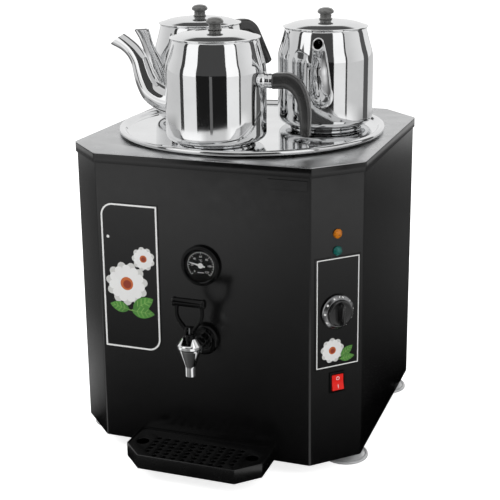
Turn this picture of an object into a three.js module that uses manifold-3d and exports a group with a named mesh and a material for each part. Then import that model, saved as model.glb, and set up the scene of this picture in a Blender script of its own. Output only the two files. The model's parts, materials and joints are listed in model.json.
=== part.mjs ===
// Hot water urn: an octagonal casing round a steel tank, with a tap, a dial thermometer, a thermostat,
// two lamps, a rocker switch, a drip tray, and three teapots that stand on the tank's round cover.
// Millimetres, +Z up. The front faces -Y. The origin is on the floor, under the middle of the whole outline.
import * as THREE from 'three';
import { mergeVertices } from 'three/addons/utils/BufferGeometryUtils.js';
import Module from 'manifold-3d';

// General
const sheet = 1.2;
const gap = 0.3;
const overrun = 1;
const weld = 0.001;
const coarse = 12;
const medium = 16;
const round = 20;
const fine = 32;
const hexSides = 6;

// Casing: heights on it are counted from its lower edge
const casingWidth = 400;
const casingDepth = 400;
const casingHeight = 400;
const casingCorner = 54;
const floorClearance = 19;
const skirtOverhang = 2;
const skirtHeight = 13.5;
const frameLedge = 20;
const baseLip = 12;
const serviceX = 2.5;

// Tank and its cover
const tankMargin = 35;
const tankFloorHeight = 96;
const tankCornerRadius = 14;
const tankFlangeWidth = 13;
const tankMouthStep = 7;
const jacketThickness = 11;
const jacketDrop = 18;
const jacketFoot = 104;
const standStep = 20;
const standRingWidth = 27;
const standLegWidth = 30;
const standThickness = 2;
const standFootLength = 22;
const standPegRadius = 2.5;
const coverRadius = 186;
const coverBeadWidth = 9;
const coverBeadHeight = 8.7;
const coverLift = 1.6;
const coverThickness = 1;
const locatingStep = 4.5;
const locatingDepth = 11;
const ventStep = 10.1;
const ventAngle = THREE.MathUtils.degToRad(202);
const ventRadius = 2;

// Feet
const footSideMargin = 28;
const footEndMargin = 82;
const footRadius = 31;
const footEdge = 3.5;
const footShoulderHeight = 9;
const footNeckRadius = 11;
const studRadius = 4;
const studReach = 12;

// Tap
const tapReach = 50;
const tapShankHeight = 161;
const flangeRadius = 21;
const flangeThickness = 9;
const shankRadius = 8;
const shankBore = 5.5;
const shankPastWall = 12;
const tankNutRadius = 15;
const tankNutThickness = 6;
const nozzleRadius = 6.8;
const nozzleBore = 5;
const nozzleLength = 15;
const nozzleDrop = 33;
const coneRadius = 14.5;
const collarRadius = 16;
const collarRise = 7;
const collarHeight = 4;
const shoulderRadius = 9.8;
const shoulderRise = 9;
const cavityRadius = 12;
const seatDrop = 10;
const socketRadius = 10.5;
const bonnetRadius = 6.2;
const bonnetReach = 5;
const stemRadius = 1.8;
const stemClearance = 0.3;
const pinRadius = 1.2;
const pinRise = 4;
const cupRadius = 8.5;
const cupHeight = 8;
const leverThickness = 7;
const leverHubWidth = 12.2;
const leverHubHeight = 9;
const leverHeight = 41.5;
const leverHalfWidth = 19.3;
const leverArm = 4.6;
const leverBarLength = 44;
const leverBarRadius = 6.2;

// Dial thermometer
const gaugeX = 0;
const gaugeHeightShare = 0.6525;
const bezelRadius = 26.5;
const bezelLip = 21;
const bezelReach = 7;
const gaugeCaseRadius = 24;
const gaugeCaseDepth = 15;
const gaugeStemRadius = 4;
const gaugeImmersion = 25;
const dialRadius = 22.6;
const dialHeight = 1.4;
const dialThickness = 0.6;
const pointerHeight = 2.6;
const pointerLength = 16;
const pointerTail = 5;
const pointerWidth = 1.6;
const pointerHubRadius = 2.4;
const pointerThickness = 0.6;
const pointerTurnShare = 0.93;
const glassHeight = 4.5;
const glassThickness = 1.2;

// Controls on the front right corner face: along is to the right, counted from the face's middle
const lampRadius = 6.3;
const lampDome = 5;
const lampStudRadius = 4.8;
const lampStudLength = 24;
const lampRise = 7.2;
const lampPitch = 22.5;
const knobRise = 1.7;
const knobRadius = 23;
const knobSkirt = 6.5;
const knobCapRadius = 17;
const knobReach = 22;
const knobRidgeWidth = 8;
const knobStandoff = 1.2;
const shaftRadius = 3;
const shaftClearance = 0.3;
const bushRadius = 4.5;
const thermostatSize = 36;
const thermostatDepth = 20;
const sensorHeight = 170;
const sensorRadius = 3;
const sensorLength = 72;
const capillaryRadius = 1;
const sensorNutRadius = 8;
const sensorNutThickness = 7;
const switchDrop = 20.3;
const switchAlong = 1;
const switchWidth = 22;
const switchTall = 28;
const switchBezel = 2;
const switchBodyDepth = 21;
const rockerWidth = 16.4;
const rockerTall = 22;
const rockerThickness = 8;
const rockerReach = 3;
const rockerTilt = THREE.MathUtils.degToRad(7);
const bladeWidth = 5;
const bladeLength = 8;
const bladeThickness = 0.8;

// Labels and plate
const labelThickness = 0.5;
const labelMargin = 4;
const labelInner = 59;
const labelHeightShare = 0.58425;
const labelTall = 203;
const labelCorner = 18.5;
const panelWidth = 66.5;
const panelTall = 150;
const panelHeightShare = 0.517;
const panelAlong = 1.2;
const plateMargin = 3.5;
const plateDrop = 24;
const plateWidth = 52;
const plateTall = 13;
const plateThickness = 0.8;

// Drip tray
const trayWidth = 190;
const trayReach = 77;
const trayCorner = 28;
const trayHeight = 20;
const tabWidth = 24;
const tabHeight = 3;
const tabLength = 12;
const tabSpacing = 110;
const tabRise = 11;
const gridDrop = 1.2;
const gridClearance = 0.6;
const gridColumns = 10;
const gridRows = 6;
const gridHoleSides = 6;
const gridPitchX = 13.1;
const gridPitchY = 9.4;
const gridHoleRadius = 3.2;
const gridFirstRow = 23;
const fingerHoleRadius = 8.5;
const fingerHoleX = 77;
const fingerHoleReach = 37;
const gridLegWidth = 8;

// Heater and wiring
const heaterHeight = 121;
const heaterHexRadius = 27;
const heaterHexThickness = 11;
const heaterThreadRadius = 19;
const heaterThreadLength = 9;
const heaterPinRadius = 2.5;
const heaterPinLength = 14;
const heaterTubeRadius = 3.2;
const heaterLoopRadius = 8;
const heaterLoopLength = 210;
const heaterLoopSpacing = 17;
const blockWidth = 56;
const blockDepth = 22;
const blockTall = 18;
const blockX = 70;
const blockBack = 40;
const blockPoles = 3;
const blockSlotWidth = 8;
const blockSlotDepth = 6;
const glandMargin = 26;
const glandHeight = 42;
const glandReach = 13;
const glandRadius = 9;
const glandBore = 4;
const glandNutRadius = 12;
const glandNutThickness = 5;
const glandThreadLength = 9;
const wireRadius = 1.3;
const sleeveRadius = 3;

// Teapots: radii from the pot's axis, heights from the ring that it stands on
const potRadius = 65.7;
const potMouthRadius = 55.5;
const potWall = 1;
const potHeight = 134.5;
const potWallTop = 78;
const potBottom = 3.5;
const potBottomRadius = 53;
const potBottomCorner = 11.5;
const potRingRadius = 51.5;
const potRingWidth = 4;
const potSpacing = 105;
const lidRadius = 58;
const lidThickness = 1;
const lidDome = 5.5;
const lidPlugRadius = 53;
const lidPlugDepth = 6;
const lidSeat = 8;
const knobStemRadius = 7;
const knobStemHeight = 10;
const knobHeadRadius = 11.5;
const knobTotalHeight = 21.5;
const gripRadius = 10.5;
const spoutRootHeight = 50;
const spoutRootReach = 58;
const spoutRadius = 16;
const bentSpoutReach = 140;
const bentSpoutRise = 81;
const uprightSpoutReach = 94.5;
const uprightSpoutRise = 85;
const spoutPassRadius = 9;

// Each row: outward share, rise share, radius in the spout's plane, radius across it, slope in degrees
const bentSpoutShares = [
  [0, 0, 1, 0.86, 5],
  [0.22, 0.04, 0.97, 0.85, 14],
  [0.4, 0.15, 0.91, 0.82, 45],
  [0.5, 0.32, 0.84, 0.77, 66],
  [0.56, 0.48, 0.75, 0.69, 72],
  [0.62, 0.66, 0.66, 0.61, 64],
  [0.72, 0.81, 0.58, 0.53, 48],
  [0.85, 0.92, 0.56, 0.48, 45],
  [1, 1, 0.7, 0.44, 58],
];
const uprightSpoutShares = [
  [0, 0, 1, 0.86, 20],
  [0.22, 0.12, 0.94, 0.84, 55],
  [0.38, 0.31, 0.83, 0.76, 63],
  [0.51, 0.46, 0.68, 0.64, 66],
  [0.63, 0.6, 0.55, 0.54, 68],
  [0.755, 0.74, 0.5, 0.49, 70],
  [0.865, 0.88, 0.55, 0.47, 76],
  [1, 1, 0.66, 0.46, 90],
];
// Each row: outward share, drop share, radius in the grip's plane, radius across it, slope in degrees
const lowGripShares = [
  [0, 0, 1, 1, 0],
  [0.24, -0.015, 1.05, 0.95, 0],
  [0.48, 0, 1.14, 0.9, -20],
  [0.73, 0.105, 1.08, 0.86, -50],
  [0.9, 0.29, 0.93, 0.83, -68],
  [0.985, 0.54, 0.86, 0.8, -84],
  [1, 0.8, 0.78, 0.76, -90],
  [0.99, 1, 0.69, 0.69, -92],
];
const highGripShares = [
  [0, 0, 1.1, 0.95, 0],
  [0.16, -0.005, 1.07, 0.95, 0],
  [0.36, 0.007, 1.09, 0.93, -12],
  [0.54, 0.09, 1.03, 0.88, -38],
  [0.65, 0.265, 0.84, 0.82, -60],
  [0.755, 0.495, 0.63, 0.74, -68],
  [0.865, 0.745, 0.5, 0.66, -69],
  [1, 1, 0.44, 0.6, -69],
];
const lowGripHeight = 84;
const lowGripDrop = 70;
const lowGripEnd = 122;
const lowSocketRadius = 9.5;
const lowSocketStart = 64.6;
const lowSocketEnd = 80;
const lowSocketCup = 11.7;
const highGripHeight = 127;
const highGripDrop = 56.5;
const highGripEnd = 111;
const highSocketRadius = 6.5;
const highSocketStart = 55;
const highSocketEnd = 62;
const highSocketCup = 7.2;
const socketCupReach = 3.5;
const sweepSides = 8;

// Derived sizes
const flangeStandoff = gap;
const originShift = (trayReach - glandReach) / 2;
const halfWidth = casingWidth / 2;
const halfDepth = casingDepth / 2;
const faceHalf = halfWidth - casingCorner;
const roundReach = Math.min(halfWidth, halfDepth);
const tankRadius = roundReach - tankMargin;
const tankMouthRadius = tankRadius - tankMouthStep;
const locatingRadius = tankMouthRadius - locatingStep;
const standOuterRadius = tankRadius - standStep;
const standInnerRadius = standOuterRadius - standRingWidth;
const footX = halfWidth - footSideMargin;
const footY = halfDepth - footEndMargin;
const gaugeHeight = casingHeight * gaugeHeightShare;
const gaugeStemLength = halfDepth - gaugeCaseDepth - tankRadius + gaugeImmersion;
const panelHeight = casingHeight * panelHeightShare;
const greenHeight = panelHeight + panelTall / 2 + lampRise;
const amberHeight = greenHeight + lampPitch;
const knobHeight = panelHeight + knobRise;
const switchHeight = panelHeight - panelTall / 2 - switchDrop;
const labelWidth = faceHalf - labelMargin - labelInner;
const labelX = -labelInner - labelWidth / 2;
const labelHeight = casingHeight * labelHeightShare;
const plateX = faceHalf - plateMargin - plateWidth / 2;
const plateHeight = casingHeight - plateDrop;
const blockY = halfDepth - blockBack;
const glandX = faceHalf - glandMargin;
const topHeight = floorClearance + casingHeight;
const topPlateUnder = topHeight - sheet;
const frameUnder = topPlateUnder - gap - sheet;
const tankTop = topPlateUnder - gap;
const tankFloor = floorClearance + tankFloorHeight;
const basePlateTop = floorClearance + sheet;
const coverFloor = topHeight + gap + coverLift;
const potStandHeight = coverFloor + coverThickness + gap;
const tapHeight = floorClearance + tapShankHeight;
const seatHeight = tapHeight - seatDrop;
const collarBottom = tapHeight + collarRise;
const collarTop = collarBottom + collarHeight;
const shoulderTop = collarTop + shoulderRise;
const nozzleBottom = tapHeight - nozzleDrop;
const bonnetTop = shoulderTop + bonnetReach - gap;
const pinHeight = bonnetTop + pinRise + gap;
const stemBore = stemRadius + stemClearance;
const trayFloor = floorClearance + sheet;
const gridTop = floorClearance + trayHeight - gridDrop;

// Finishes
const paint = { color: 0x1d1d1e, roughness: 0.38, metalness: 0.1 };
const satinSteel = { color: 0xb9bbbd, roughness: 0.32, metalness: 1 };
const polishedSteel = { color: 0xd8dadc, roughness: 0.06, metalness: 1 };
const plainSteel = { color: 0x9c9fa2, roughness: 0.45, metalness: 1 };
const chrome = { color: 0xe2e4e6, roughness: 0.05, metalness: 1 };
const brass = { color: 0xb08d4a, roughness: 0.35, metalness: 1 };
const blackPlastic = { color: 0x141415, roughness: 0.35, metalness: 0 };
const greyPlastic = { color: 0x4b4d50, roughness: 0.5, metalness: 0 };
const label = { color: 0x101012, roughness: 0.2, metalness: 0 };
const amber = { color: 0xe08a1c, roughness: 0.15, metalness: 0 };
const green = { color: 0x0d7a6c, roughness: 0.15, metalness: 0 };
const red = { color: 0xd9251c, roughness: 0.25, metalness: 0 };
const dialBlack = { color: 0x101010, roughness: 0.6, metalness: 0 };
const white = { color: 0xf2f2f0, roughness: 0.5, metalness: 0 };
const clear = { color: 0xffffff, roughness: 0.03, metalness: 0 };
const silicone = { color: 0xc9c6bf, roughness: 0.6, metalness: 0 };
const wool = { color: 0xcfc39a, roughness: 0.95, metalness: 0 };
const cream = { color: 0xe6e0cf, roughness: 0.6, metalness: 0 };
const footSilver = { color: 0xc6c8ca, roughness: 0.3, metalness: 0.8 };

const kernel = await Module();
kernel.setup();

/** Turns a closed geometry into a solid whose faces point outwards. */
function toSolid(geometry) {
  const bare = geometry.clone();
  bare.deleteAttribute('normal');
  bare.deleteAttribute('uv');
  const merged = mergeVertices(bare, weld);
  const vertProperties = new Float32Array(merged.attributes.position.array);
  const corner = (index) => new THREE.Vector3().fromArray(vertProperties, 3 * index);
  const triangles = [];
  let volume = 0;
  for (let i = 0; i < merged.index.count; i += 3) {
    const [a, b, c] = [0, 1, 2].map((k) => merged.index.getX(i + k));
    if (a !== b && b !== c && c !== a) {
      triangles.push([a, b, c]);
      volume += corner(a).dot(corner(b).cross(corner(c)));
    }
  }
  const outward = volume > 0 ? triangles : triangles.map(([a, b, c]) => [a, c, b]);
  const mesh = new kernel.Mesh({ numProp: 3, vertProperties, triVerts: new Uint32Array(outward.flat()) });
  return new kernel.Manifold(mesh);
}

/** Turns a solid back into a geometry. */
function toGeometry(solid) {
  const mesh = solid.getMesh();
  const geometry = new THREE.BufferGeometry();
  geometry.setAttribute('position', new THREE.BufferAttribute(new Float32Array(mesh.vertProperties), 3));
  geometry.setIndex(new THREE.BufferAttribute(new Uint32Array(mesh.triVerts), 1));
  geometry.computeVertexNormals();
  return geometry;
}

const closed = (geometry) => toGeometry(toSolid(geometry));
const join = (...pieces) => toGeometry(pieces.map(toSolid).reduce((sum, piece) => sum.add(piece)));
const less = (rest, tool) => rest.subtract(toSolid(tool));
const cut = (piece, ...tools) => toGeometry(tools.reduce(less, toSolid(piece)));
const meet = (piece, other) => toGeometry(toSolid(piece).intersect(toSolid(other)));

/** Moves a copy of a geometry. */
const moved = (geometry, x, y, z) => geometry.clone().translate(x, y, z);

/** Revolves a profile of [radius, height] points about Z. */
function revolve(points, segments = round) {
  const profile = points.map(([radius, height]) => new THREE.Vector2(radius, height));
  return new THREE.LatheGeometry(profile, segments).rotateX(Math.PI / 2);
}

/** A straight round bar along Z, from one height to another. */
function rod(radius, from, to, segments = coarse) {
  return revolve([[0, from], [radius, from], [radius, to], [0, to]], segments);
}

/** A straight round pipe along Z. */
function pipe(outer, inner, from, to, segments = coarse) {
  return revolve([[inner, from], [outer, from], [outer, to], [inner, to], [inner, from]], segments);
}

/** A box given by its centre in plan and its lowest and highest level. */
function block(width, depth, from, to, x = 0, y = 0) {
  return new THREE.BoxGeometry(width, depth, to - from).translate(x, y, (from + to) / 2);
}

/** Points along an arc in a profile, ends included. */
function arc(x, y, radius, start, end, steps = 4) {
  return Array.from({ length: steps + 1 }, (_, i) => {
    const angle = start + ((end - start) * i) / steps;
    return [x + radius * Math.cos(angle), y + radius * Math.sin(angle)];
  });
}

/** Points along a quadratic curve, without its first point. */
function bend(from, control, to, steps = 4) {
  const curve = new THREE.QuadraticBezierCurve(...[from, control, to].map((p) => new THREE.Vector2(...p)));
  return curve.getPoints(steps).slice(1).map((p) => [p.x, p.y]);
}

/** Extrudes a closed outline of [x, y] points upwards, with round or shaped holes. */
function plate(points, from, to, holes = []) {
  const shape = new THREE.Shape(points.map((p) => new THREE.Vector2(...p)));
  holes.forEach((hole) => shape.holes.push(new THREE.Path(hole.map((p) => new THREE.Vector2(...p)))));
  return new THREE.ExtrudeGeometry(shape, { depth: to - from, bevelEnabled: false }).translate(0, 0, from);
}

/** The points of a regular outline about a centre. */
function ring(radius, sides, x = 0, y = 0) {
  return Array.from({ length: sides }, (_, i) => {
    const angle = (2 * Math.PI * (i + 0.5)) / sides;
    return [x + radius * Math.cos(angle), y + radius * Math.sin(angle)];
  });
}

/** The casing's eight-sided outline, grown by a distance. */
function octagon(grow) {
  const x = halfWidth + grow;
  const y = halfDepth + grow;
  const c = casingCorner + grow * (2 - Math.SQRT2);
  return [
    [x - c, -y], [x, c - y], [x, y - c], [x - c, y],
    [c - x, y], [-x, y - c], [-x, c - y], [c - x, -y],
  ];
}

/** Skins a row of rings, each a list of points, and closes both ends. */
function loft(rings) {
  const sides = rings[0].length;
  const middle = (points) => points.reduce((sum, p) => sum.clone().add(p)).divideScalar(sides);
  const vertices = [...rings.flat(), middle(rings[0]), middle(rings[rings.length - 1])];
  const index = [];
  for (let i = 0; i < sides; i += 1) {
    const next = (i + 1) % sides;
    for (let row = 0; row < rings.length - 1; row += 1) {
      const low = row * sides;
      index.push(low + i, low + next, low + sides + next, low + i, low + sides + next, low + sides + i);
    }
    const last = (rings.length - 1) * sides;
    index.push(next, i, vertices.length - 2, last + i, last + next, vertices.length - 1);
  }
  const geometry = new THREE.BufferGeometry().setFromPoints(vertices);
  geometry.setIndex(index);
  return geometry;
}

/** A tube along smooth points, which starts and ends square. */
function tube(points, radius, steps, sides = hexSides) {
  const path = new THREE.CatmullRomCurve3(points, false, 'centripetal');
  const section = new THREE.Shape(ring(radius, sides).map((p) => new THREE.Vector2(...p)));
  return new THREE.ExtrudeGeometry(section, { steps, bevelEnabled: false, extrudePath: path });
}

const urn = new THREE.Group();
const body = new THREE.Group();
body.position.y = originShift;
urn.add(body);

/** Adds a named piece to a group. */
function add(name, geometry, finish, parent = body) {
  const mesh = new THREE.Mesh(closed(geometry), new THREE.MeshStandardMaterial(finish));
  mesh.name = name;
  parent.add(mesh);
  return mesh;
}

/** A frame on a wall: its X runs right as seen from outside, its Y up and its Z out of the wall. */
function wallFrame(x, y, height, turn) {
  const frame = new THREE.Group();
  const outward = new THREE.Vector3(Math.sin(turn), -Math.cos(turn), 0);
  const up = new THREE.Vector3(0, 0, 1);
  const basis = new THREE.Matrix4().makeBasis(up.clone().cross(outward), up, outward);
  frame.quaternion.setFromRotationMatrix(basis);
  frame.position.set(x, y, floorClearance + height);
  frame.updateMatrix();
  body.add(frame);
  return frame;
}

/** Puts a geometry made in a frame into the body's own axes. */
const inBody = (geometry, frame) => geometry.clone().applyMatrix4(frame.matrix);

const cornerX = halfWidth - casingCorner / 2;
const cornerY = halfDepth - casingCorner / 2;
const cornerDistance = (cornerX + cornerY) / Math.SQRT2;
const cornerTurn = Math.PI / 4;
// How far along the corner face the line from the tank's axis meets it
const tankLine = (cornerY - cornerX) / Math.SQRT2;

/** A point on the front right corner face, or a way in from it, in the casing's plan. */
function onCorner(height, shift, inward = 0) {
  const x = cornerX + (shift - inward) / Math.SQRT2;
  const y = (shift + inward) / Math.SQRT2 - cornerY;
  return new THREE.Vector3(x, y, floorClearance + height);
}

/** A frame on the front right corner face. */
function cornerFrame(height, shift = 0) {
  const point = onCorner(height, shift);
  return wallFrame(point.x, point.y, height, cornerTurn);
}

const tapFrame = wallFrame(serviceX, -halfDepth, tapShankHeight, 0);
const gaugeFrame = wallFrame(gaugeX, -halfDepth, gaugeHeight, 0);
const knobFrame = cornerFrame(knobHeight);
const amberFrame = cornerFrame(amberHeight);
const greenFrame = cornerFrame(greenHeight);
const switchFrame = cornerFrame(switchHeight, switchAlong);
const panelFrame = cornerFrame(panelHeight, panelAlong);
const heaterFrame = cornerFrame(heaterHeight, tankLine);
const sensorFrame = cornerFrame(sensorHeight, tankLine);
const labelFrame = wallFrame(labelX, -halfDepth, labelHeight, 0);
const plateFrame = wallFrame(plateX, -halfDepth, plateHeight, 0);
const glandFrame = wallFrame(glandX, halfDepth, glandHeight, Math.PI);

const rockerSpace = [rockerWidth + 2 * gap, rockerTall + 4 * gap];
const switchBody = [switchWidth - 2 * switchBezel, switchTall - 2 * switchBezel];
const bladeRow = switchBody[1] / 3;

const footPlaces = [[-1, -1], [1, -1], [-1, 1], [1, 1]];
const standDirections = [[1, 0], [0, 1], [-1, 0], [0, -1]];

/** The eight-sided wrap, top frame, top plate and base. */
function makeCasing() {
  const wallTop = frameUnder - gap;
  const through = (radius, segments = medium) => rod(radius, -sheet - overrun, overrun, segments);
  const slotLow = floorClearance + tabRise - gap;
  const slotHigh = floorClearance + tabRise + tabHeight + gap;
  const tabRoom = (depth, top) => [-1, 1].map((side) => block(
    tabWidth + 2 * gap, depth, slotLow, top, serviceX + (side * tabSpacing) / 2, -halfDepth));
  const wrap = plate(octagon(0), floorClearance, wallTop, [octagon(-sheet)]);
  add('casing', cut(wrap,
    inBody(through(shankRadius + gap), tapFrame),
    inBody(through(gaugeCaseRadius + gap, round), gaugeFrame),
    inBody(through(lampStudRadius + gap), amberFrame),
    inBody(through(lampStudRadius + gap), greenFrame),
    inBody(through(bushRadius + gap), knobFrame),
    inBody(block(switchBody[0] + 2 * gap, switchBody[1] + 2 * gap, -sheet - overrun, overrun), switchFrame),
    inBody(through(glandRadius + gap), glandFrame),
    ...tabRoom(2 * sheet + 2 * overrun, slotHigh)), paint);

  const skirtInner = octagon(skirtOverhang - sheet);
  const skirt = plate(octagon(skirtOverhang), topHeight - skirtHeight, frameUnder + sheet, [skirtInner]);
  const ledgeInner = octagon(skirtOverhang - frameLedge);
  const ledge = plate(octagon(skirtOverhang), frameUnder, frameUnder + sheet, [ledgeInner]);
  add('top_frame', join(skirt, ledge), paint);

  const mouth = ring(tankMouthRadius, fine);
  add('top_plate', plate(octagon(skirtOverhang), topPlateUnder, topHeight, [mouth]), satinSteel);

  const hole = (radius, x, y) => ring(radius + gap, coarse, x, y);
  const studHoles = footPlaces.map(([i, j]) => hole(studRadius, i * footX, j * footY));
  const pegHoles = standDirections.map(([i, j]) => hole(standPegRadius, i * standPeg, j * standPeg));
  const inset = -sheet - gap;
  const floorPlate = plate(octagon(inset), floorClearance, basePlateTop, [...studHoles, ...pegHoles]);
  const lipTop = floorClearance + baseLip;
  const lip = plate(octagon(inset), floorClearance, lipTop, [octagon(inset - sheet)]);
  add('base_plate', cut(join(floorPlate, lip), ...tabRoom(2 * tabLength, lipTop + overrun)), plainSteel);
}

const standPeg = standOuterRadius + standFootLength / 2;
const standBottom = basePlateTop + gap;

/** The tank, what carries it and what wraps it. */
function makeTank() {
  const inner = tankRadius - sheet;
  const flange = tankRadius + tankFlangeWidth;
  const cornerArc = (radius, start, end) => arc(
    tankRadius - tankCornerRadius, tankFloor + tankCornerRadius, radius, start, end);
  const shell = revolve([
    [0, tankFloor], ...cornerArc(tankCornerRadius, -Math.PI / 2, 0),
    [tankRadius, tankTop - sheet], [flange, tankTop - sheet], [flange, tankTop], [inner, tankTop],
    ...cornerArc(tankCornerRadius - sheet, 0, -Math.PI / 2), [0, tankFloor + sheet],
  ], fine);
  const bore = (radius, frame, from, to) => inBody(rod(radius, from, to, round), frame);
  const wallIn = halfDepth - tankRadius + 4 * sheet;
  const cornerIn = cornerDistance - tankRadius + 4 * sheet;
  add('tank', cut(shell,
    bore(shankRadius + gap, tapFrame, -wallIn, -sheet),
    bore(gaugeStemRadius + gap, gaugeFrame, -wallIn, -sheet),
    bore(heaterThreadRadius + gap, heaterFrame, -cornerIn, -sheet),
    bore(sensorRadius + gap, sensorFrame, -cornerIn, -sheet)), plainSteel);

  const jacketInner = tankRadius + gap;
  const jacketFrom = floorClearance + jacketFoot;
  const jacketTo = floorClearance + casingHeight - jacketDrop;
  const room = 3 * gap;
  add('insulation_jacket', cut(
    pipe(jacketInner + jacketThickness, jacketInner, jacketFrom, jacketTo, fine),
    bore(shankRadius + room, tapFrame, -wallIn, -sheet),
    bore(gaugeStemRadius + room, gaugeFrame, -wallIn, -sheet),
    bore(heaterHexRadius + room, heaterFrame, -cornerIn, -sheet),
    bore(sensorNutRadius + room, sensorFrame, -cornerIn, -sheet)), wool);

  const standTop = tankFloor - gap;
  const reachIn = standOuterRadius - standThickness / 2;
  const soleTop = standBottom + standThickness;
  const soleMiddle = standOuterRadius + standFootLength / 2 - standThickness / 2;
  const legs = standDirections.flatMap(([i, j]) => {
    const size = (length) => [i ? length : standLegWidth, i ? standLegWidth : length];
    return [
      block(...size(standThickness), standBottom, standTop, i * reachIn, j * reachIn),
      block(...size(standFootLength + standThickness), standBottom, soleTop, i * soleMiddle, j * soleMiddle),
    ];
  });
  const topRing = pipe(standOuterRadius, standInnerRadius, standTop - standThickness, standTop, fine);
  const pegs = standDirections.map(([i, j]) => moved(
    rod(standPegRadius, floorClearance, standBottom + standThickness / 2), i * standPeg, j * standPeg, 0));
  add('tank_stand', join(topRing, ...legs, ...pegs), plainSteel);
}

/** The round cover, which lifts off and carries the teapots. */
function makeCover() {
  const under = coverFloor;
  const over = coverFloor + coverThickness;
  const beadMiddle = coverRadius - coverBeadWidth / 2;
  const beadTop = topHeight + gap + coverBeadHeight;
  const beadInner = coverRadius - coverBeadWidth;
  const shell = revolve([
    [0, under], [locatingRadius - sheet, under], [locatingRadius - sheet, topHeight - locatingDepth],
    [locatingRadius, topHeight - locatingDepth], [locatingRadius, under],
    [beadInner - 2 * coverThickness, under],
    [beadInner, topHeight + gap], [coverRadius - coverThickness, topHeight + gap],
    ...bend(
      [coverRadius - coverThickness, topHeight + gap],
      [coverRadius + coverThickness, (topHeight + beadTop) / 2],
      [beadMiddle + coverThickness, beadTop], 3),
    [beadMiddle - coverThickness, beadTop],
    ...bend(
      [beadMiddle - coverThickness, beadTop],
      [beadInner - coverThickness, beadTop - coverThickness],
      [beadInner - 3 * coverThickness, over], 3),
    [0, over],
  ], fine);
  const ventReach = coverRadius - ventStep;
  const vent = moved(rod(ventRadius, under - overrun, over + overrun),
    ventReach * Math.cos(ventAngle), ventReach * Math.sin(ventAngle), 0);
  add('cover_tray', cut(shell, vent), polishedSteel);
}

/** The four disc feet with their studs. */
function makeFeet() {
  const neckTop = floorClearance - gap;
  const studTop = basePlateTop + studReach;
  const foot = revolve([
    [0, 0], [footRadius, 0], [footRadius, footEdge], [footNeckRadius, footShoulderHeight],
    [footNeckRadius, neckTop], [studRadius, neckTop], [studRadius, studTop], [0, studTop],
  ], medium);
  for (const [i, j] of footPlaces) {
    const name = `foot_${j < 0 ? 'front' : 'rear'}_${i < 0 ? 'left' : 'right'}`;
    add(name, foot, footSilver).position.set(i * footX, j * footY, 0);
  }
}

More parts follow.
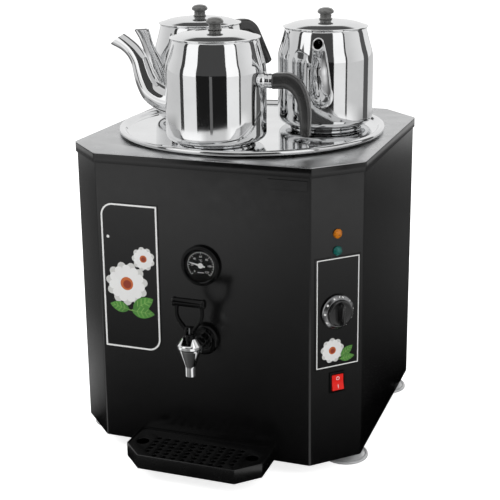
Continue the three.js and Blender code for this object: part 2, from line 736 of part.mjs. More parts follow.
/** The tap, from the nut inside the tank to its lever. */
function makeTap() {
  const axis = -halfDepth - tapReach;
  const socketDepth = collarRadius - 3 * gap;
  const nozzleTop = nozzleBottom + nozzleLength;
  const upright = (geometry) => moved(geometry, serviceX, axis, 0);
  const lying = (geometry) => inBody(geometry, tapFrame);

  const flangeBore = shankRadius + gap;
  add('tap_flange', revolve([
    [flangeBore, flangeStandoff], [flangeRadius, flangeStandoff], [flangeRadius, flangeThickness * 0.6],
    [flangeRadius * 0.9, flangeThickness], [flangeBore, flangeThickness], [flangeBore, flangeStandoff],
  ], round), blackPlastic, tapFrame);

  const shankFront = tapReach - socketDepth + 4 * gap;
  const shankBack = halfDepth - tankRadius + sheet + shankPastWall;
  add('tap_shank', pipe(shankRadius, shankBore, -shankBack, shankFront, medium), chrome, tapFrame);

  const flatReach = (tankRadius - sheet) * Math.cos(Math.PI / fine);
  const nutFace = halfDepth - Math.sqrt(flatReach ** 2 - (tankNutRadius + serviceX) ** 2) + gap;
  const nutHole = ring(flangeBore, medium);
  const nut = plate(ring(tankNutRadius, hexSides), -nutFace - tankNutThickness, -nutFace, [nutHole]);
  add('tap_tank_nut', nut, brass, tapFrame);

  const outside = revolve([
    [0, nozzleBottom], [nozzleRadius, nozzleBottom], [nozzleRadius, nozzleTop],
    [coneRadius, collarBottom - collarHeight / 2], [collarRadius, collarBottom],
    [collarRadius, collarTop], [shoulderRadius, shoulderTop], [0, shoulderTop],
  ]);
  const socketBack = shankFront - 3 * gap - (tapReach - shankFront) / 2;
  const socket = rod(socketRadius, socketBack, tapReach, medium);
  const cavity = revolve([
    [0, nozzleBottom - overrun], [nozzleBore, nozzleBottom - overrun], [nozzleBore, seatHeight],
    [cupRadius + gap, seatHeight + gap], [cavityRadius, collarBottom], [cavityRadius, collarTop - sheet],
    [bonnetRadius + gap, collarTop + sheet], [bonnetRadius + gap, shoulderTop + overrun],
    [0, shoulderTop + overrun],
  ], medium);
  const slotBottom = collarTop + collarHeight / 2;
  const slot = block(leverHubWidth + 2 * gap, 2 * collarRadius, slotBottom, shoulderTop + overrun);
  add('tap_body', cut(join(upright(outside), lying(socket)), upright(cavity), upright(slot),
    lying(rod(shankRadius + gap, -sheet, shankFront + gap, medium)),
    lying(rod(shankBore, shankFront, tapReach, coarse))), chrome);

  const bonnetBottom = collarTop + sheet;
  add('tap_bonnet', upright(pipe(bonnetRadius, stemBore, bonnetBottom, bonnetTop, medium)), blackPlastic);

  const cupBottom = seatHeight + 2 * gap;
  const cupTop = cupBottom + cupHeight;
  add('tap_seat_cup', upright(revolve([
    [0, cupBottom], [cupRadius, cupBottom], [cupRadius / 2, cupTop], [0, cupTop],
  ], medium)), silicone);

  const stemTop = pinHeight + pinRise;
  const cross = (radius, half, height, segments = coarse) => rod(radius, -half, half, segments)
    .rotateY(Math.PI / 2).translate(0, 0, height);
  const eye = cross(pinRadius + gap / 2, collarRadius, pinHeight);
  add('tap_stem', upright(cut(rod(stemRadius, cupTop + gap, stemTop), eye)), plainSteel);
  add('tap_lever_pin', upright(cross(pinRadius, leverHubWidth / 2, pinHeight)), plainSteel);

  const hubBottom = bonnetTop + gap;
  const barBottom = leverHeight - leverBarRadius * 0.8;
  const side = (sign, inset, top) => {
    const wide = leverHalfWidth - inset;
    const root = leverHubWidth / 2 - inset;
    const start = [sign * root, leverHubHeight * 0.6 + inset];
    const shoulder = [sign * wide, leverHubHeight + inset];
    return [start, ...bend(start, shoulder, [sign * wide, leverHeight * 0.6], 5), [sign * wide * 0.95, top]];
  };
  const loop = (inset, top) => [...side(1, inset, top), ...side(-1, inset, top).reverse()];
  const half = leverThickness / 2;
  const arms = plate(loop(0, leverHeight), -half, half, [loop(leverArm, barBottom)])
    .rotateX(Math.PI / 2).translate(0, 0, hubBottom);
  const hubRound = cross(pinRise, leverHubWidth / 2, pinHeight, medium);
  const hub = block(leverHubWidth, 2 * pinRise, pinHeight, hubBottom + leverHubHeight);
  const bar = cross(leverBarRadius, leverBarLength / 2, hubBottom + leverHeight, medium);
  const tiltRoom = block(2 * stemRadius + 2 * gap, 4 * pinRise, hubBottom - overrun, stemTop + gap);
  add('tap_lever', upright(cut(join(hubRound, hub, bar, arms), tiltRoom, eye)), blackPlastic);
}

/** The dial thermometer, whose stem reaches into the tank. */
function makeGauge() {
  const wall = sheet;
  const caseFront = glassHeight - gap;
  const caseFloor = wall - gaugeCaseDepth;
  const stemEnd = -gaugeCaseDepth - gaugeStemLength;
  const inner = gaugeCaseRadius - wall;
  const ledge = inner - wall;
  add('gauge_case', revolve([
    [0, stemEnd], [gaugeStemRadius, stemEnd], [gaugeStemRadius, -gaugeCaseDepth],
    [gaugeCaseRadius, -gaugeCaseDepth], [gaugeCaseRadius, caseFront], [inner, caseFront],
    [inner, dialHeight - gap], [ledge, dialHeight - gap], [ledge, caseFloor], [0, caseFloor],
  ]), blackPlastic, gaugeFrame);

  const bezelBore = gaugeCaseRadius + gap;
  const lipBack = glassHeight + glassThickness + gap;
  add('gauge_bezel', revolve([
    [bezelBore, gap], [bezelRadius, gap], [bezelRadius, bezelReach * 0.7], [bezelRadius - wall, bezelReach],
    [bezelLip, bezelReach], [bezelLip, lipBack], [bezelBore, lipBack], [bezelBore, gap],
  ], fine), blackPlastic, gaugeFrame);

  const spindleRadius = pointerHubRadius / 2;
  const dial = pipe(dialRadius, spindleRadius + gap, dialHeight, dialHeight + dialThickness, round);
  add('gauge_dial', dial, dialBlack, gaugeFrame);
  const pointerTop = pointerHeight + pointerThickness;
  const needle = plate([
    [-pointerTail, -pointerWidth / 2], [pointerLength, -pointerWidth / 4],
    [pointerLength, pointerWidth / 4], [-pointerTail, pointerWidth / 2],
  ], pointerHeight, pointerTop);
  const hub = rod(pointerHubRadius, pointerHeight, pointerTop + pointerThickness);
  const spindle = rod(spindleRadius, caseFloor + gap, pointerTop);
  add('gauge_pointer', join(needle, hub, spindle).rotateZ(Math.PI * pointerTurnShare), white, gaugeFrame);
  const glass = rod(gaugeCaseRadius, glassHeight, glassHeight + glassThickness, round);
  add('gauge_glass', glass, clear, gaugeFrame);
}

/** The lamps, the thermostat with its knob, and the rocker switch. */
function makeControls() {
  const lamp = revolve([
    [0, -lampStudLength], [lampStudRadius, -lampStudLength], [lampStudRadius, gap], [lampRadius, gap],
    [lampRadius, lampDome * 0.35], [lampRadius * 0.7, lampDome * 0.85], [0, lampDome],
  ], coarse);
  add('lamp_amber', lamp, amber, amberFrame);
  add('lamp_green', lamp, green, greenFrame);

  const shaftTip = knobStandoff + knobSkirt + shaftRadius;
  const shaftBack = -sheet - 2 * gap - thermostatDepth / 2;
  add('thermostat_shaft', rod(shaftRadius, shaftBack, shaftTip), plainSteel, knobFrame);
  const boxFront = -sheet - gap;
  const box = block(thermostatSize, thermostatSize, boxFront - thermostatDepth, boxFront);
  const bush = rod(bushRadius, boxFront - overrun, gap);
  const shaftRoom = rod(shaftRadius + shaftClearance, shaftBack - gap, overrun);
  add('thermostat_body', cut(join(box, bush), shaftRoom), cream, knobFrame);

  const skirtTop = knobStandoff + knobSkirt;
  const capTop = shaftTip + shaftRadius;
  const half = knobCapRadius * 0.94;
  const skirt = revolve([
    [0, knobStandoff], [knobRadius, knobStandoff], [knobRadius, knobStandoff + knobSkirt * 0.5],
    [knobRadius * 0.84, skirtTop], [knobCapRadius, skirtTop], [half, capTop], [0, capTop],
  ], fine);
  const ridge = plate([
    [-knobRidgeWidth / 2, knobStandoff], [knobRidgeWidth / 2, knobStandoff],
    [knobRidgeWidth / 4, knobReach], [-knobRidgeWidth / 4, knobReach],
  ], -half, half).rotateX(Math.PI / 2);
  const trim = revolve([
    [0, knobStandoff], [knobCapRadius, knobStandoff], [knobCapRadius * 0.8, knobReach], [0, knobReach],
  ]);
  const bore = rod(shaftRadius + gap, 0, shaftTip + gap);
  add('thermostat_knob', cut(join(skirt, meet(ridge, trim)), bore), blackPlastic, knobFrame);

  const fromWall = (distance) => distance - cornerDistance;
  const boxBack = cornerDistance + boxFront - thermostatDepth;
  const nutBase = tankRadius + sheet;
  const nutEnd = nutBase + sensorNutThickness;
  const up = (distance, height, side) => new THREE.Vector3(side, height - sensorHeight, fromWall(distance));
  const turn = boxBack - 8 * capillaryRadius;
  const capillary = tube([
    up(boxBack - gap, knobHeight, -tankLine),
    up(boxBack - 4 * capillaryRadius, knobHeight, -tankLine),
    up(turn, knobHeight - 4 * capillaryRadius, -tankLine),
    up(turn - capillaryRadius, (knobHeight + sensorHeight) / 2, -tankLine / 2),
    up((boxBack + nutEnd) / 2, sensorHeight + capillaryRadius, 0),
    up(nutEnd - overrun, sensorHeight, 0),
  ], capillaryRadius, 12);
  const bulb = rod(sensorRadius, fromWall(nutBase - sensorLength), fromWall(nutEnd));
  const nut = plate(ring(sensorNutRadius, hexSides), fromWall(nutBase), fromWall(nutEnd));
  add('thermostat_sensor', join(capillary, bulb, nut), brass, sensorFrame);

  const [bodyWidth, bodyTall] = switchBody;
  const rim = block(switchWidth, switchTall, gap, switchBezel);
  const housing = join(rim, block(bodyWidth, bodyTall, -switchBodyDepth, overrun));
  const well = block(...rockerSpace, -rockerThickness - rockerReach, switchBezel + overrun);
  const bladeEnd = -switchBodyDepth - bladeLength;
  const blades = [-1, 0, 1].map((row) => block(
    bladeWidth, bladeThickness, bladeEnd, overrun - switchBodyDepth, 0, row * bladeRow));
  add('switch_housing', join(cut(housing, well), ...blades), blackPlastic, switchFrame);

  const endRadius = rockerTall / 2;
  const lift = Math.tan(rockerTilt) * endRadius;
  const slant = Math.asin((rockerReach + lift) / endRadius);
  const profile = [
    ...arc(0, 0, endRadius, Math.PI / 2 + slant / 2, Math.PI / 2 - slant), [rockerReach, 0],
    ...arc(0, 0, endRadius, slant - Math.PI / 2, -Math.PI / 2 - slant / 2), [-rockerThickness, 0],
  ];
  const swing = plate(profile, -rockerWidth / 2, rockerWidth / 2).rotateZ(rockerTilt).rotateY(-Math.PI / 2);
  add('switch_rocker', swing, red, switchFrame);
}

/** The printed labels and the bare plate. */
function makeLabels() {
  const x = labelWidth / 2;
  const y = labelTall / 2;
  const r = labelCorner;
  const outline = [
    [-x, -y], ...arc(x - r, r - y, r, -Math.PI / 2, 0),
    [x, y], ...arc(r - x, y - r, r, Math.PI / 2, Math.PI),
  ];
  add('front_label', plate(outline, gap, gap + labelThickness), label, labelFrame);
  const shaftHole = ring(bushRadius + gap, medium, -panelAlong, knobHeight - panelHeight);
  const panelX = panelWidth / 2;
  const panelY = panelTall / 2;
  const panel = [[-panelX, -panelY], [panelX, -panelY], [panelX, panelY], [-panelX, panelY]];
  add('control_label', plate(panel, gap, gap + labelThickness, [shaftHole]), label, panelFrame);
  add('name_plate', block(plateWidth, plateTall, gap, gap + plateThickness), label, plateFrame);
}

/** The drip tray, pushed into two slots, and its lift-out grid. */
function makeDripTray() {
  const outline = (inset, back) => {
    const x = trayWidth / 2 - inset;
    const front = trayReach - inset;
    const corner = trayCorner - inset * (2 - Math.SQRT2);
    return [
      [-x, -back], [-x, corner - front], [corner - x, -front],
      [x - corner, -front], [x, corner - front], [x, -back],
    ];
  };
  const back = gap;
  const top = floorClearance + trayHeight;
  const hollow = plate(outline(sheet, back + sheet), trayFloor, top + overrun);
  const dish = cut(plate(outline(0, back), floorClearance, top), hollow);
  const tabBottom = floorClearance + tabRise;
  const tabMiddle = tabLength / 2 - back - sheet / 2;
  const tabs = [-1, 1].map((side) => block(
    tabWidth, tabLength, tabBottom, tabBottom + tabHeight, (side * tabSpacing) / 2, tabMiddle));
  const place = new THREE.Group();
  place.position.set(serviceX, -halfDepth, 0);
  body.add(place);
  add('drip_tray', join(dish, ...tabs), paint, place);

  const holes = [];
  for (let row = 0; row < gridRows; row += 1) {
    const skipped = row === gridRows - 1 ? 1 : 0;
    for (let column = skipped; column < gridColumns - skipped; column += 1) {
      const x = (column - (gridColumns - 1) / 2) * gridPitchX;
      holes.push(ring(gridHoleRadius, gridHoleSides, x, -gridFirstRow - row * gridPitchY));
    }
  }
  const finger = (side) => ring(fingerHoleRadius, coarse, side * fingerHoleX, -fingerHoleReach);
  const edge = sheet + gridClearance;
  const cutouts = [...holes, finger(-1), finger(1)];
  const sheetMetal = plate(outline(edge, back + edge), gridTop - sheet, gridTop, cutouts);
  const legX = trayWidth / 2 - edge - sheet / 2;
  const legPlaces = [back + edge + gridLegWidth, trayReach - trayCorner - gridLegWidth / 2];
  const legs = [-1, 1].flatMap((side) => legPlaces.map((reach) => block(
    sheet, gridLegWidth, trayFloor + gap, gridTop - sheet / 2, side * legX, -reach)));
  add('drip_grid', join(sheetMetal, ...legs), paint, place);
}

/** The heating element and its head, screwed through the tank's wall. */
function makeHeater() {
  const fromWall = (distance) => distance - cornerDistance;
  const seat = fromWall(tankRadius + gap);
  const head = plate(ring(heaterHexRadius, hexSides), seat, seat + heaterHexThickness);
  const thread = rod(heaterThreadRadius, seat - heaterThreadLength, seat + overrun, round);
  const pinEnd = seat + heaterHexThickness + heaterPinLength;
  const pin = rod(heaterPinRadius, seat + overrun, pinEnd);
  const pins = [-1, 1].map((side) => moved(pin, (side * heaterLoopSpacing) / 2, 0, 0));
  add('heater_head', join(head, thread, ...pins), brass, heaterFrame);

  const start = seat - heaterThreadLength - gap;
  const side = heaterLoopSpacing / 2;
  const turned = arc(0, 0, heaterLoopRadius, -Math.PI / 2, Math.PI / 2, 4);
  const leg = (x) => [
    new THREE.Vector3(x, 0, start),
    new THREE.Vector3(x, 0, start - heaterLoopLength / 2),
    ...turned.map(([out, up]) => (
      new THREE.Vector3(x, up + heaterLoopRadius, start - heaterLoopLength - out)
    )),
    new THREE.Vector3(x, 2 * heaterLoopRadius, start - heaterLoopLength / 2),
  ];
  const near = start - heaterLoopSpacing;
  const crossing = arc(0, 0, side, Math.PI, 0, 4)
    .map(([x, back]) => new THREE.Vector3(x, 2 * heaterLoopRadius, near + back - side));
  const route = [...leg(-side), ...crossing, ...leg(side).reverse()];
  add('heater_element', tube(route, heaterTubeRadius, 40), plainSteel, heaterFrame);
}

/** The terminal block, the cable gland and the wires between the parts. */
function makeWiring() {
  const blockBottom = basePlateTop + gap;
  const blockTop = blockBottom + blockTall;
  const slots = Array.from({ length: blockPoles }, (_, i) => block(
    blockSlotWidth, blockDepth + overrun, blockTop - blockSlotDepth, blockTop + overrun,
    blockX + (i - (blockPoles - 1) / 2) * 2 * blockSlotWidth, blockY));
  const moulding = block(blockWidth, blockDepth, blockBottom, blockTop, blockX, blockY);
  add('terminal_block', cut(moulding, ...slots), cream);

  const nut = plate(ring(glandNutRadius, hexSides), gap, glandNutThickness);
  const dome = revolve([
    [0, overrun], [glandRadius, overrun], [glandRadius, glandReach * 0.7],
    [glandBore * 1.6, glandReach], [0, glandReach],
  ], medium);
  const thread = rod(glandRadius, -glandThreadLength, overrun, medium);
  const bore = rod(glandBore, -glandThreadLength - overrun, glandReach + overrun);
  add('cable_gland', cut(join(nut, dome, thread), bore), blackPlastic, glandFrame);

  const wires = wireRoutes.map(([radius, ...route]) => tube(route, radius, 9));
  add('wiring', join(...wires), red);
}

const bladeTip = switchBodyDepth + bladeLength + gap;
const blockFace = blockY - blockDepth / 2 - gap;
const sleeveHeight = basePlateTop + gap + blockTall / 2;
const sleeveEnd = [footNeckRadius + blockTall, 0, 2 * bladeTip];
const thermostatSide = -thermostatSize / 2 - gap;
const pinTip = cornerDistance - tankRadius - heaterHexThickness - heaterPinLength - 2 * gap;
// Each route: a radius, then points from the sleeve's end or the terminal block to the part that it feeds
const wireRoutes = [
  [
    sleeveRadius,
    new THREE.Vector3(blockX, blockFace, sleeveHeight),
    new THREE.Vector3(blockX, blockFace - blockDepth, sleeveHeight),
    new THREE.Vector3(standInnerRadius - blockDepth, 0, sleeveHeight),
    onCorner(sleeveEnd[0], sleeveEnd[1], sleeveEnd[2] + 2 * blockTall),
    onCorner(...sleeveEnd),
  ],
  ...[-1, 1].map((side) => [
    wireRadius,
    onCorner(sleeveEnd[0], sleeveEnd[1], sleeveEnd[2] + overrun),
    onCorner(sleeveEnd[0] + blockTall, switchAlong, sleeveEnd[2] - side * bladeLength),
    onCorner(switchHeight + side * bladeRow, switchAlong, bladeTip + bladeLength),
    onCorner(switchHeight + side * bladeRow, switchAlong, bladeTip),
  ]),
  [
    wireRadius,
    onCorner(sleeveEnd[0], sleeveEnd[1], sleeveEnd[2] + overrun),
    onCorner(sleeveEnd[0] + blockTall, thermostatSide, sleeveEnd[2]),
    onCorner(switchHeight, thermostatSide - bladeLength, switchBodyDepth),
    onCorner(knobHeight - thermostatSize, thermostatSide - bladeLength, thermostatDepth / 2),
    onCorner(knobHeight, thermostatSide - bladeWidth, thermostatDepth / 2),
    onCorner(knobHeight, thermostatSide, thermostatDepth / 2),
  ],
  ...[-1, 1].map((side) => [
    wireRadius,
    onCorner(sleeveEnd[0], sleeveEnd[1], sleeveEnd[2] + overrun),
    onCorner(sleeveEnd[0] + blockTall, tankLine + 2 * side * heaterLoopSpacing, sleeveEnd[2]),
    onCorner(heaterHeight - blockTall, tankLine + 1.5 * side * heaterLoopSpacing, pinTip - bladeLength / 2),
    onCorner(heaterHeight, tankLine + (side * heaterLoopSpacing) / 2, pinTip - bladeWidth),
    onCorner(heaterHeight, tankLine + (side * heaterLoopSpacing) / 2, pinTip),
  ]),
];

/** The wall of a teapot in profile, drawn in by an inset. */
function potProfile(inset) {
  const wide = potRadius - inset;
  const low = potBottom + inset;
  const neck = potMouthRadius - inset;
  const top = [neck, potHeight];
  return [
    [0, low], [potBottomRadius, low],
    ...bend([potBottomRadius, low], [wide, low], [wide, potBottom + potBottomCorner], 3),
    [wide, potWallTop],
    ...bend([wide, potWallTop], [wide, (potWallTop + potHeight) / 2], top, 5),
  ];
}

/** Rings along a curved piece in the XZ plane, outward along X. */
function sweepRings(rows, start, length, height, rise, radius, inset = 0) {
  return rows.map(([out, up, inPlane, across, slope]) => {
    const angle = THREE.MathUtils.degToRad(slope);
    const [x, z] = [start + length * out, height + rise * up];
    return ring(1, sweepSides).map(([u, v]) => {
      const high = (radius * inPlane - inset) * u;
      const wide = (radius * across - inset) * v;
      return new THREE.Vector3(x - high * Math.sin(angle), wide, z + high * Math.cos(angle));
    });
  });
}

/** Pushes a ring of points along X and Z. */
const shiftRing = (points, x, z) => points.map((p) => p.clone().add(new THREE.Vector3(x, 0, z)));

/** The pieces of one teapot about its own axis: grip towards +X, spout opposite. */
function teapotPieces(grip, curve) {
  const atSpout = (geometry) => geometry.rotateZ(Math.PI);
  const outer = potProfile(0);
  const inner = potProfile(potWall).reverse();
  const shell = revolve([...outer, ...inner]);
  const ringWall = pipe(potRingRadius, potRingRadius - potRingWidth, 0, potBottom + potWall / 2, round);
  const lying = (geometry) => geometry.rotateY(Math.PI / 2).translate(0, 0, grip.height);
  const cup = lying(rod(grip.cup, grip.root, grip.wall + socketCupReach));
  const ferrule = lying(rod(grip.radius, grip.root, grip.end));
  const core = revolve([[0, potBottom], ...potProfile(potWall / 2).slice(1), [0, potHeight]]);
  const socket = cut(join(cup, ferrule), core);
  const passage = rod(spoutPassRadius, potRingRadius, potRadius + overrun)
    .rotateY(Math.PI / 2).translate(0, 0, spoutRootHeight);
  const pot = cut(join(shell, ringWall, socket), atSpout(passage));

  const spoutLength = curve.reach - spoutRootReach;
  const spoutRings = (inset) => sweepRings(
    curve.shares, spoutRootReach, spoutLength, spoutRootHeight, curve.rise, spoutRadius, inset);
  const hollow = spoutRings(potWall);
  hollow.push(shiftRing(hollow[hollow.length - 1], overrun, overrun));
  hollow.unshift(shiftRing(hollow[0], -overrun, 0));
  const clear = potRadius + gap;
  const clearOfPot = revolve([
    [0, 0], [clear, 0], [clear, potWallTop],
    ...bend(
      [clear, potWallTop], [clear, (potWallTop + potHeight) / 2], [potMouthRadius + gap, potHeight], 5),
    [0, potHeight],
  ]);
  const spout = cut(atSpout(loft(spoutRings(0))), atSpout(loft(hollow)), clearOfPot);

  const gripStart = grip.end + gap;
  const gripLength = grip.tip - gripStart;
  const handle = loft(sweepRings(grip.shares, gripStart, gripLength, grip.height, -grip.drop, gripRadius));

  const rim = potHeight + gap;
  const under = rim + lidThickness;
  const plugInner = lidPlugRadius - lidThickness;
  const lid = revolve([
    [0, rim + lidDome], ...bend([0, rim + lidDome], [lidRadius * 0.7, rim + lidDome], [plugInner, rim], 3),
    [plugInner, rim - lidPlugDepth], [lidPlugRadius, rim - lidPlugDepth], [lidPlugRadius, rim],
    [lidRadius, rim], [lidRadius, under],
    ...bend([lidRadius, under], [lidRadius * 0.75, under + lidDome], [lidSeat, under + lidDome], 3),
    [0, under + lidDome],
  ]);
  const seat = under + lidDome + gap;
  const headBottom = seat + knobStemHeight;
  const top = seat + knobTotalHeight;
  const knob = revolve([
    [0, seat], [knobStemRadius + overrun, seat], [knobStemRadius, seat + overrun],
    [knobStemRadius, headBottom], [knobHeadRadius, (headBottom + top) / 2],
    [knobHeadRadius * 0.75, top - overrun], [0, top],
  ], coarse);
  return {
    body: [pot, polishedSteel],
    spout: [spout, polishedSteel],
    grip: [handle, greyPlastic],
    lid: [lid, polishedSteel],
    lid_knob: [knob, greyPlastic],
  };
}

/** The radius of a teapot's wall at a height above its straight part. */
function wallRadius(height) {
  const share = (height - potWallTop) / (potHeight - potWallTop);
  return potRadius - (potRadius - potMouthRadius) * share ** 2;
}

const lowGrip = {
  height: lowGripHeight,
  drop: lowGripDrop,
  tip: lowGripEnd,
  radius: lowSocketRadius,
  root: lowSocketStart,
  end: lowSocketEnd,
  cup: lowSocketCup,
  wall: wallRadius(lowGripHeight),
  shares: lowGripShares,
};
const highGrip = {
  height: highGripHeight,
  drop: highGripDrop,
  tip: highGripEnd,
  radius: highSocketRadius,
  root: highSocketStart,
  end: highSocketEnd,
  cup: highSocketCup,
  wall: wallRadius(highGripHeight),
  shares: highGripShares,
};
const bentSpout = { reach: bentSpoutReach, rise: bentSpoutRise, shares: bentSpoutShares };
const uprightSpout = { reach: uprightSpoutReach, rise: uprightSpoutRise, shares: uprightSpoutShares };
// Direction of each pot from the middle of the cover, and of its grip, in degrees
const potPlaces = {
  pot_front: { at: -97, turn: 0, grip: lowGrip, curve: bentSpout },
  pot_right: { at: 28.5, turn: 102, grip: lowGrip, curve: bentSpout },
  pot_left: { at: 154, turn: 52, grip: highGrip, curve: uprightSpout },
};

/** Three teapots standing on the cover. */
function makeTeapots() {
  for (const [name, place] of Object.entries(potPlaces)) {
    const [at, turn] = [place.at, place.turn].map(THREE.MathUtils.degToRad);
    const group = new THREE.Group();
    group.position.set(potSpacing * Math.cos(at), potSpacing * Math.sin(at), potStandHeight);
    group.rotation.z = turn;
    body.add(group);
    for (const [piece, [geometry, finish]] of Object.entries(teapotPieces(place.grip, place.curve))) {
      add(`${name}_${piece}`, geometry, finish, group);
    }
  }
}

makeCasing();
makeTank();
makeCover();
makeFeet();
makeTap();
makeGauge();
makeControls();
makeLabels();
makeDripTray();
makeHeater();
makeWiring();
makeTeapots();

export default urn;
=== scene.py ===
"""Studio scene of a hot water urn that carries three teapots.

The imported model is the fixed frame. Each class holds the sizes of one
sub-assembly in millimetres, models its pieces over the frame's nodes and
dresses them. The front of the urn faces -Y, and the casing's middle lies
at y = 32 mm.
"""

import json
import logging
import math
from collections.abc import Callable, Sequence
from dataclasses import dataclass, field
from enum import Enum

import bmesh
import bpy
from bpy.types import Material, Node, NodeSocket, Object
from mathutils import Matrix, Vector

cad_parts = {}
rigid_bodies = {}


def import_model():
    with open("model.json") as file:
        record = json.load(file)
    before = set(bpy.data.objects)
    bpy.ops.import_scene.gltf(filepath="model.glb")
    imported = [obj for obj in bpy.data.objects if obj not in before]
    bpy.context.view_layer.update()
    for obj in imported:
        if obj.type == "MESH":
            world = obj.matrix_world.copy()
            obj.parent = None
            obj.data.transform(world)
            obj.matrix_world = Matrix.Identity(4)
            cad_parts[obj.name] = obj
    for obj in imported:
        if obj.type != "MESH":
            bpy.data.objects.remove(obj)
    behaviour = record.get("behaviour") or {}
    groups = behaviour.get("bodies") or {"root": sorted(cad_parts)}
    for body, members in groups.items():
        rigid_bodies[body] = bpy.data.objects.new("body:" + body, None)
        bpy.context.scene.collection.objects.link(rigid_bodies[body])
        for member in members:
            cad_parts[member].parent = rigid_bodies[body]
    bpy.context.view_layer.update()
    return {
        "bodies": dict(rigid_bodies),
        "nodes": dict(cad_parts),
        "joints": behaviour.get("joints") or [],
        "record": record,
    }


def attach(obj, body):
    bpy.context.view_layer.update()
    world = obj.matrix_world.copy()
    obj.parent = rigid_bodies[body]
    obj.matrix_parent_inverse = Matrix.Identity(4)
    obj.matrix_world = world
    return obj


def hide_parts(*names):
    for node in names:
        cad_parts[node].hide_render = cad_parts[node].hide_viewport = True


log = logging.getLogger("urn")

MM = 0.001
CASING_Y = 32.0
CASING_BOTTOM = 19.0
HALF_WIDTH = 200.0
CORNER = 54.0
SERVICE_X = 2.5
TOP = 419.0
FRONT_Y = CASING_Y - HALF_WIDTH
OVERRUN = 1.0
METRE = 1000.0
UPRIGHT = 90.0

Point = tuple[float, float]
Colour = tuple[float, float, float]


def shade(colour: Colour) -> tuple[float, float, float, float]:
    """Give a colour its alpha."""
    return (*colour, 1.0)


def filleted(corners: Sequence[tuple[float, ...]], steps: int = 5) -> list[Point]:
    """Round the corners of a line.

    Args:
        corners: Points of two numbers, with a third for a corner's radius.
        steps: How many pieces each arc has.

    Returns:
        The points of the rounded line.
    """
    line: list[Point] = []
    for index, corner in enumerate(corners):
        here = Vector(corner[:2])
        radius = corner[2] if len(corner) > 2 else 0.0
        if radius <= 0 or index in (0, len(corners) - 1):
            line.append((here.x, here.y))
            continue
        back = Vector(corners[index - 1][:2]) - here
        onward = Vector(corners[index + 1][:2]) - here
        half = back.angle(onward) / 2
        reach = min(radius / math.tan(half), 0.49 * back.length, 0.49 * onward.length)
        radius = reach * math.tan(half)
        centre = here + (back.normalized() + onward.normalized()).normalized() * radius / math.sin(half)
        start = here + back.normalized() * reach - centre
        end = here + onward.normalized() * reach - centre
        first = math.atan2(start.y, start.x)
        turn = (math.atan2(end.y, end.x) - first + math.pi) % (2 * math.pi) - math.pi
        for step in range(steps + 1):
            angle = first + turn * step / steps
            line.append((centre.x + radius * math.cos(angle), centre.y + radius * math.sin(angle)))
    return line


def bend(start: Point, control: Point, end: Point, steps: int = 12) -> list[Point]:
    """Sample a quadratic curve, both ends included."""
    points = []
    for step in range(steps + 1):
        t = step / steps
        weights = ((1 - t) ** 2, 2 * t * (1 - t), t * t)
        points.append(tuple(sum(w * p[k] for w, p in zip(weights, (start, control, end))) for k in (0, 1)))
    return points


def eased(rows: Sequence[Sequence[float]], count: int) -> list[tuple[float, ...]]:
    """Draw a smooth line through rows of numbers.

    Args:
        rows: The rows that the line passes through.
        count: How many rows to give back.

    Returns:
        Evenly counted rows on a Catmull-Rom line.
    """
    result = []
    last = len(rows) - 1
    for index in range(count):
        place = index * last / (count - 1)
        span = min(int(place), last - 1)
        t = place - span
        p0, p1, p2, p3 = (rows[max(0, min(last, span + k))] for k in (-1, 0, 1, 2))
        result.append(tuple(
            0.5 * (2 * b + (c - a) * t + (2 * a - 5 * b + 4 * c - d) * t * t
                   + (3 * b - a - 3 * c + d) * t ** 3)
            for a, b, c, d in zip(p0, p1, p2, p3)))
    return result


def wall(x: float, y: float, height: float, turn: float) -> Matrix:
    """Find the frame of a point on an upright wall.

    Args:
        x: Place in millimetres from the casing's middle.
        y: Place in millimetres from the casing's middle.
        height: Millimetres above the casing's lower edge.
        turn: Angle in degrees of the outward direction from -Y towards +X.

    Returns:
        A matrix whose X runs right, Y up and Z out of the wall.
    """
    angle = math.radians(turn)
    out = Vector((math.sin(angle), -math.cos(angle), 0.0))
    up = Vector((0.0, 0.0, 1.0))
    matrix = Matrix((up.cross(out), up, out)).transposed().to_4x4()
    matrix.translation = Vector((x, y + CASING_Y, height + CASING_BOTTOM)) * MM
    return matrix


def front(x: float, height: float) -> Matrix:
    """Find the frame of a point on the front."""
    return wall(x, -HALF_WIDTH, height, 0.0)


def corner(height: float, along: float = 0.0) -> Matrix:
    """Find the frame of a point on the front right corner face."""
    middle = HALF_WIDTH - CORNER / 2
    step = along * math.sqrt(0.5)
    return wall(middle + step, step - middle, height, 45.0)


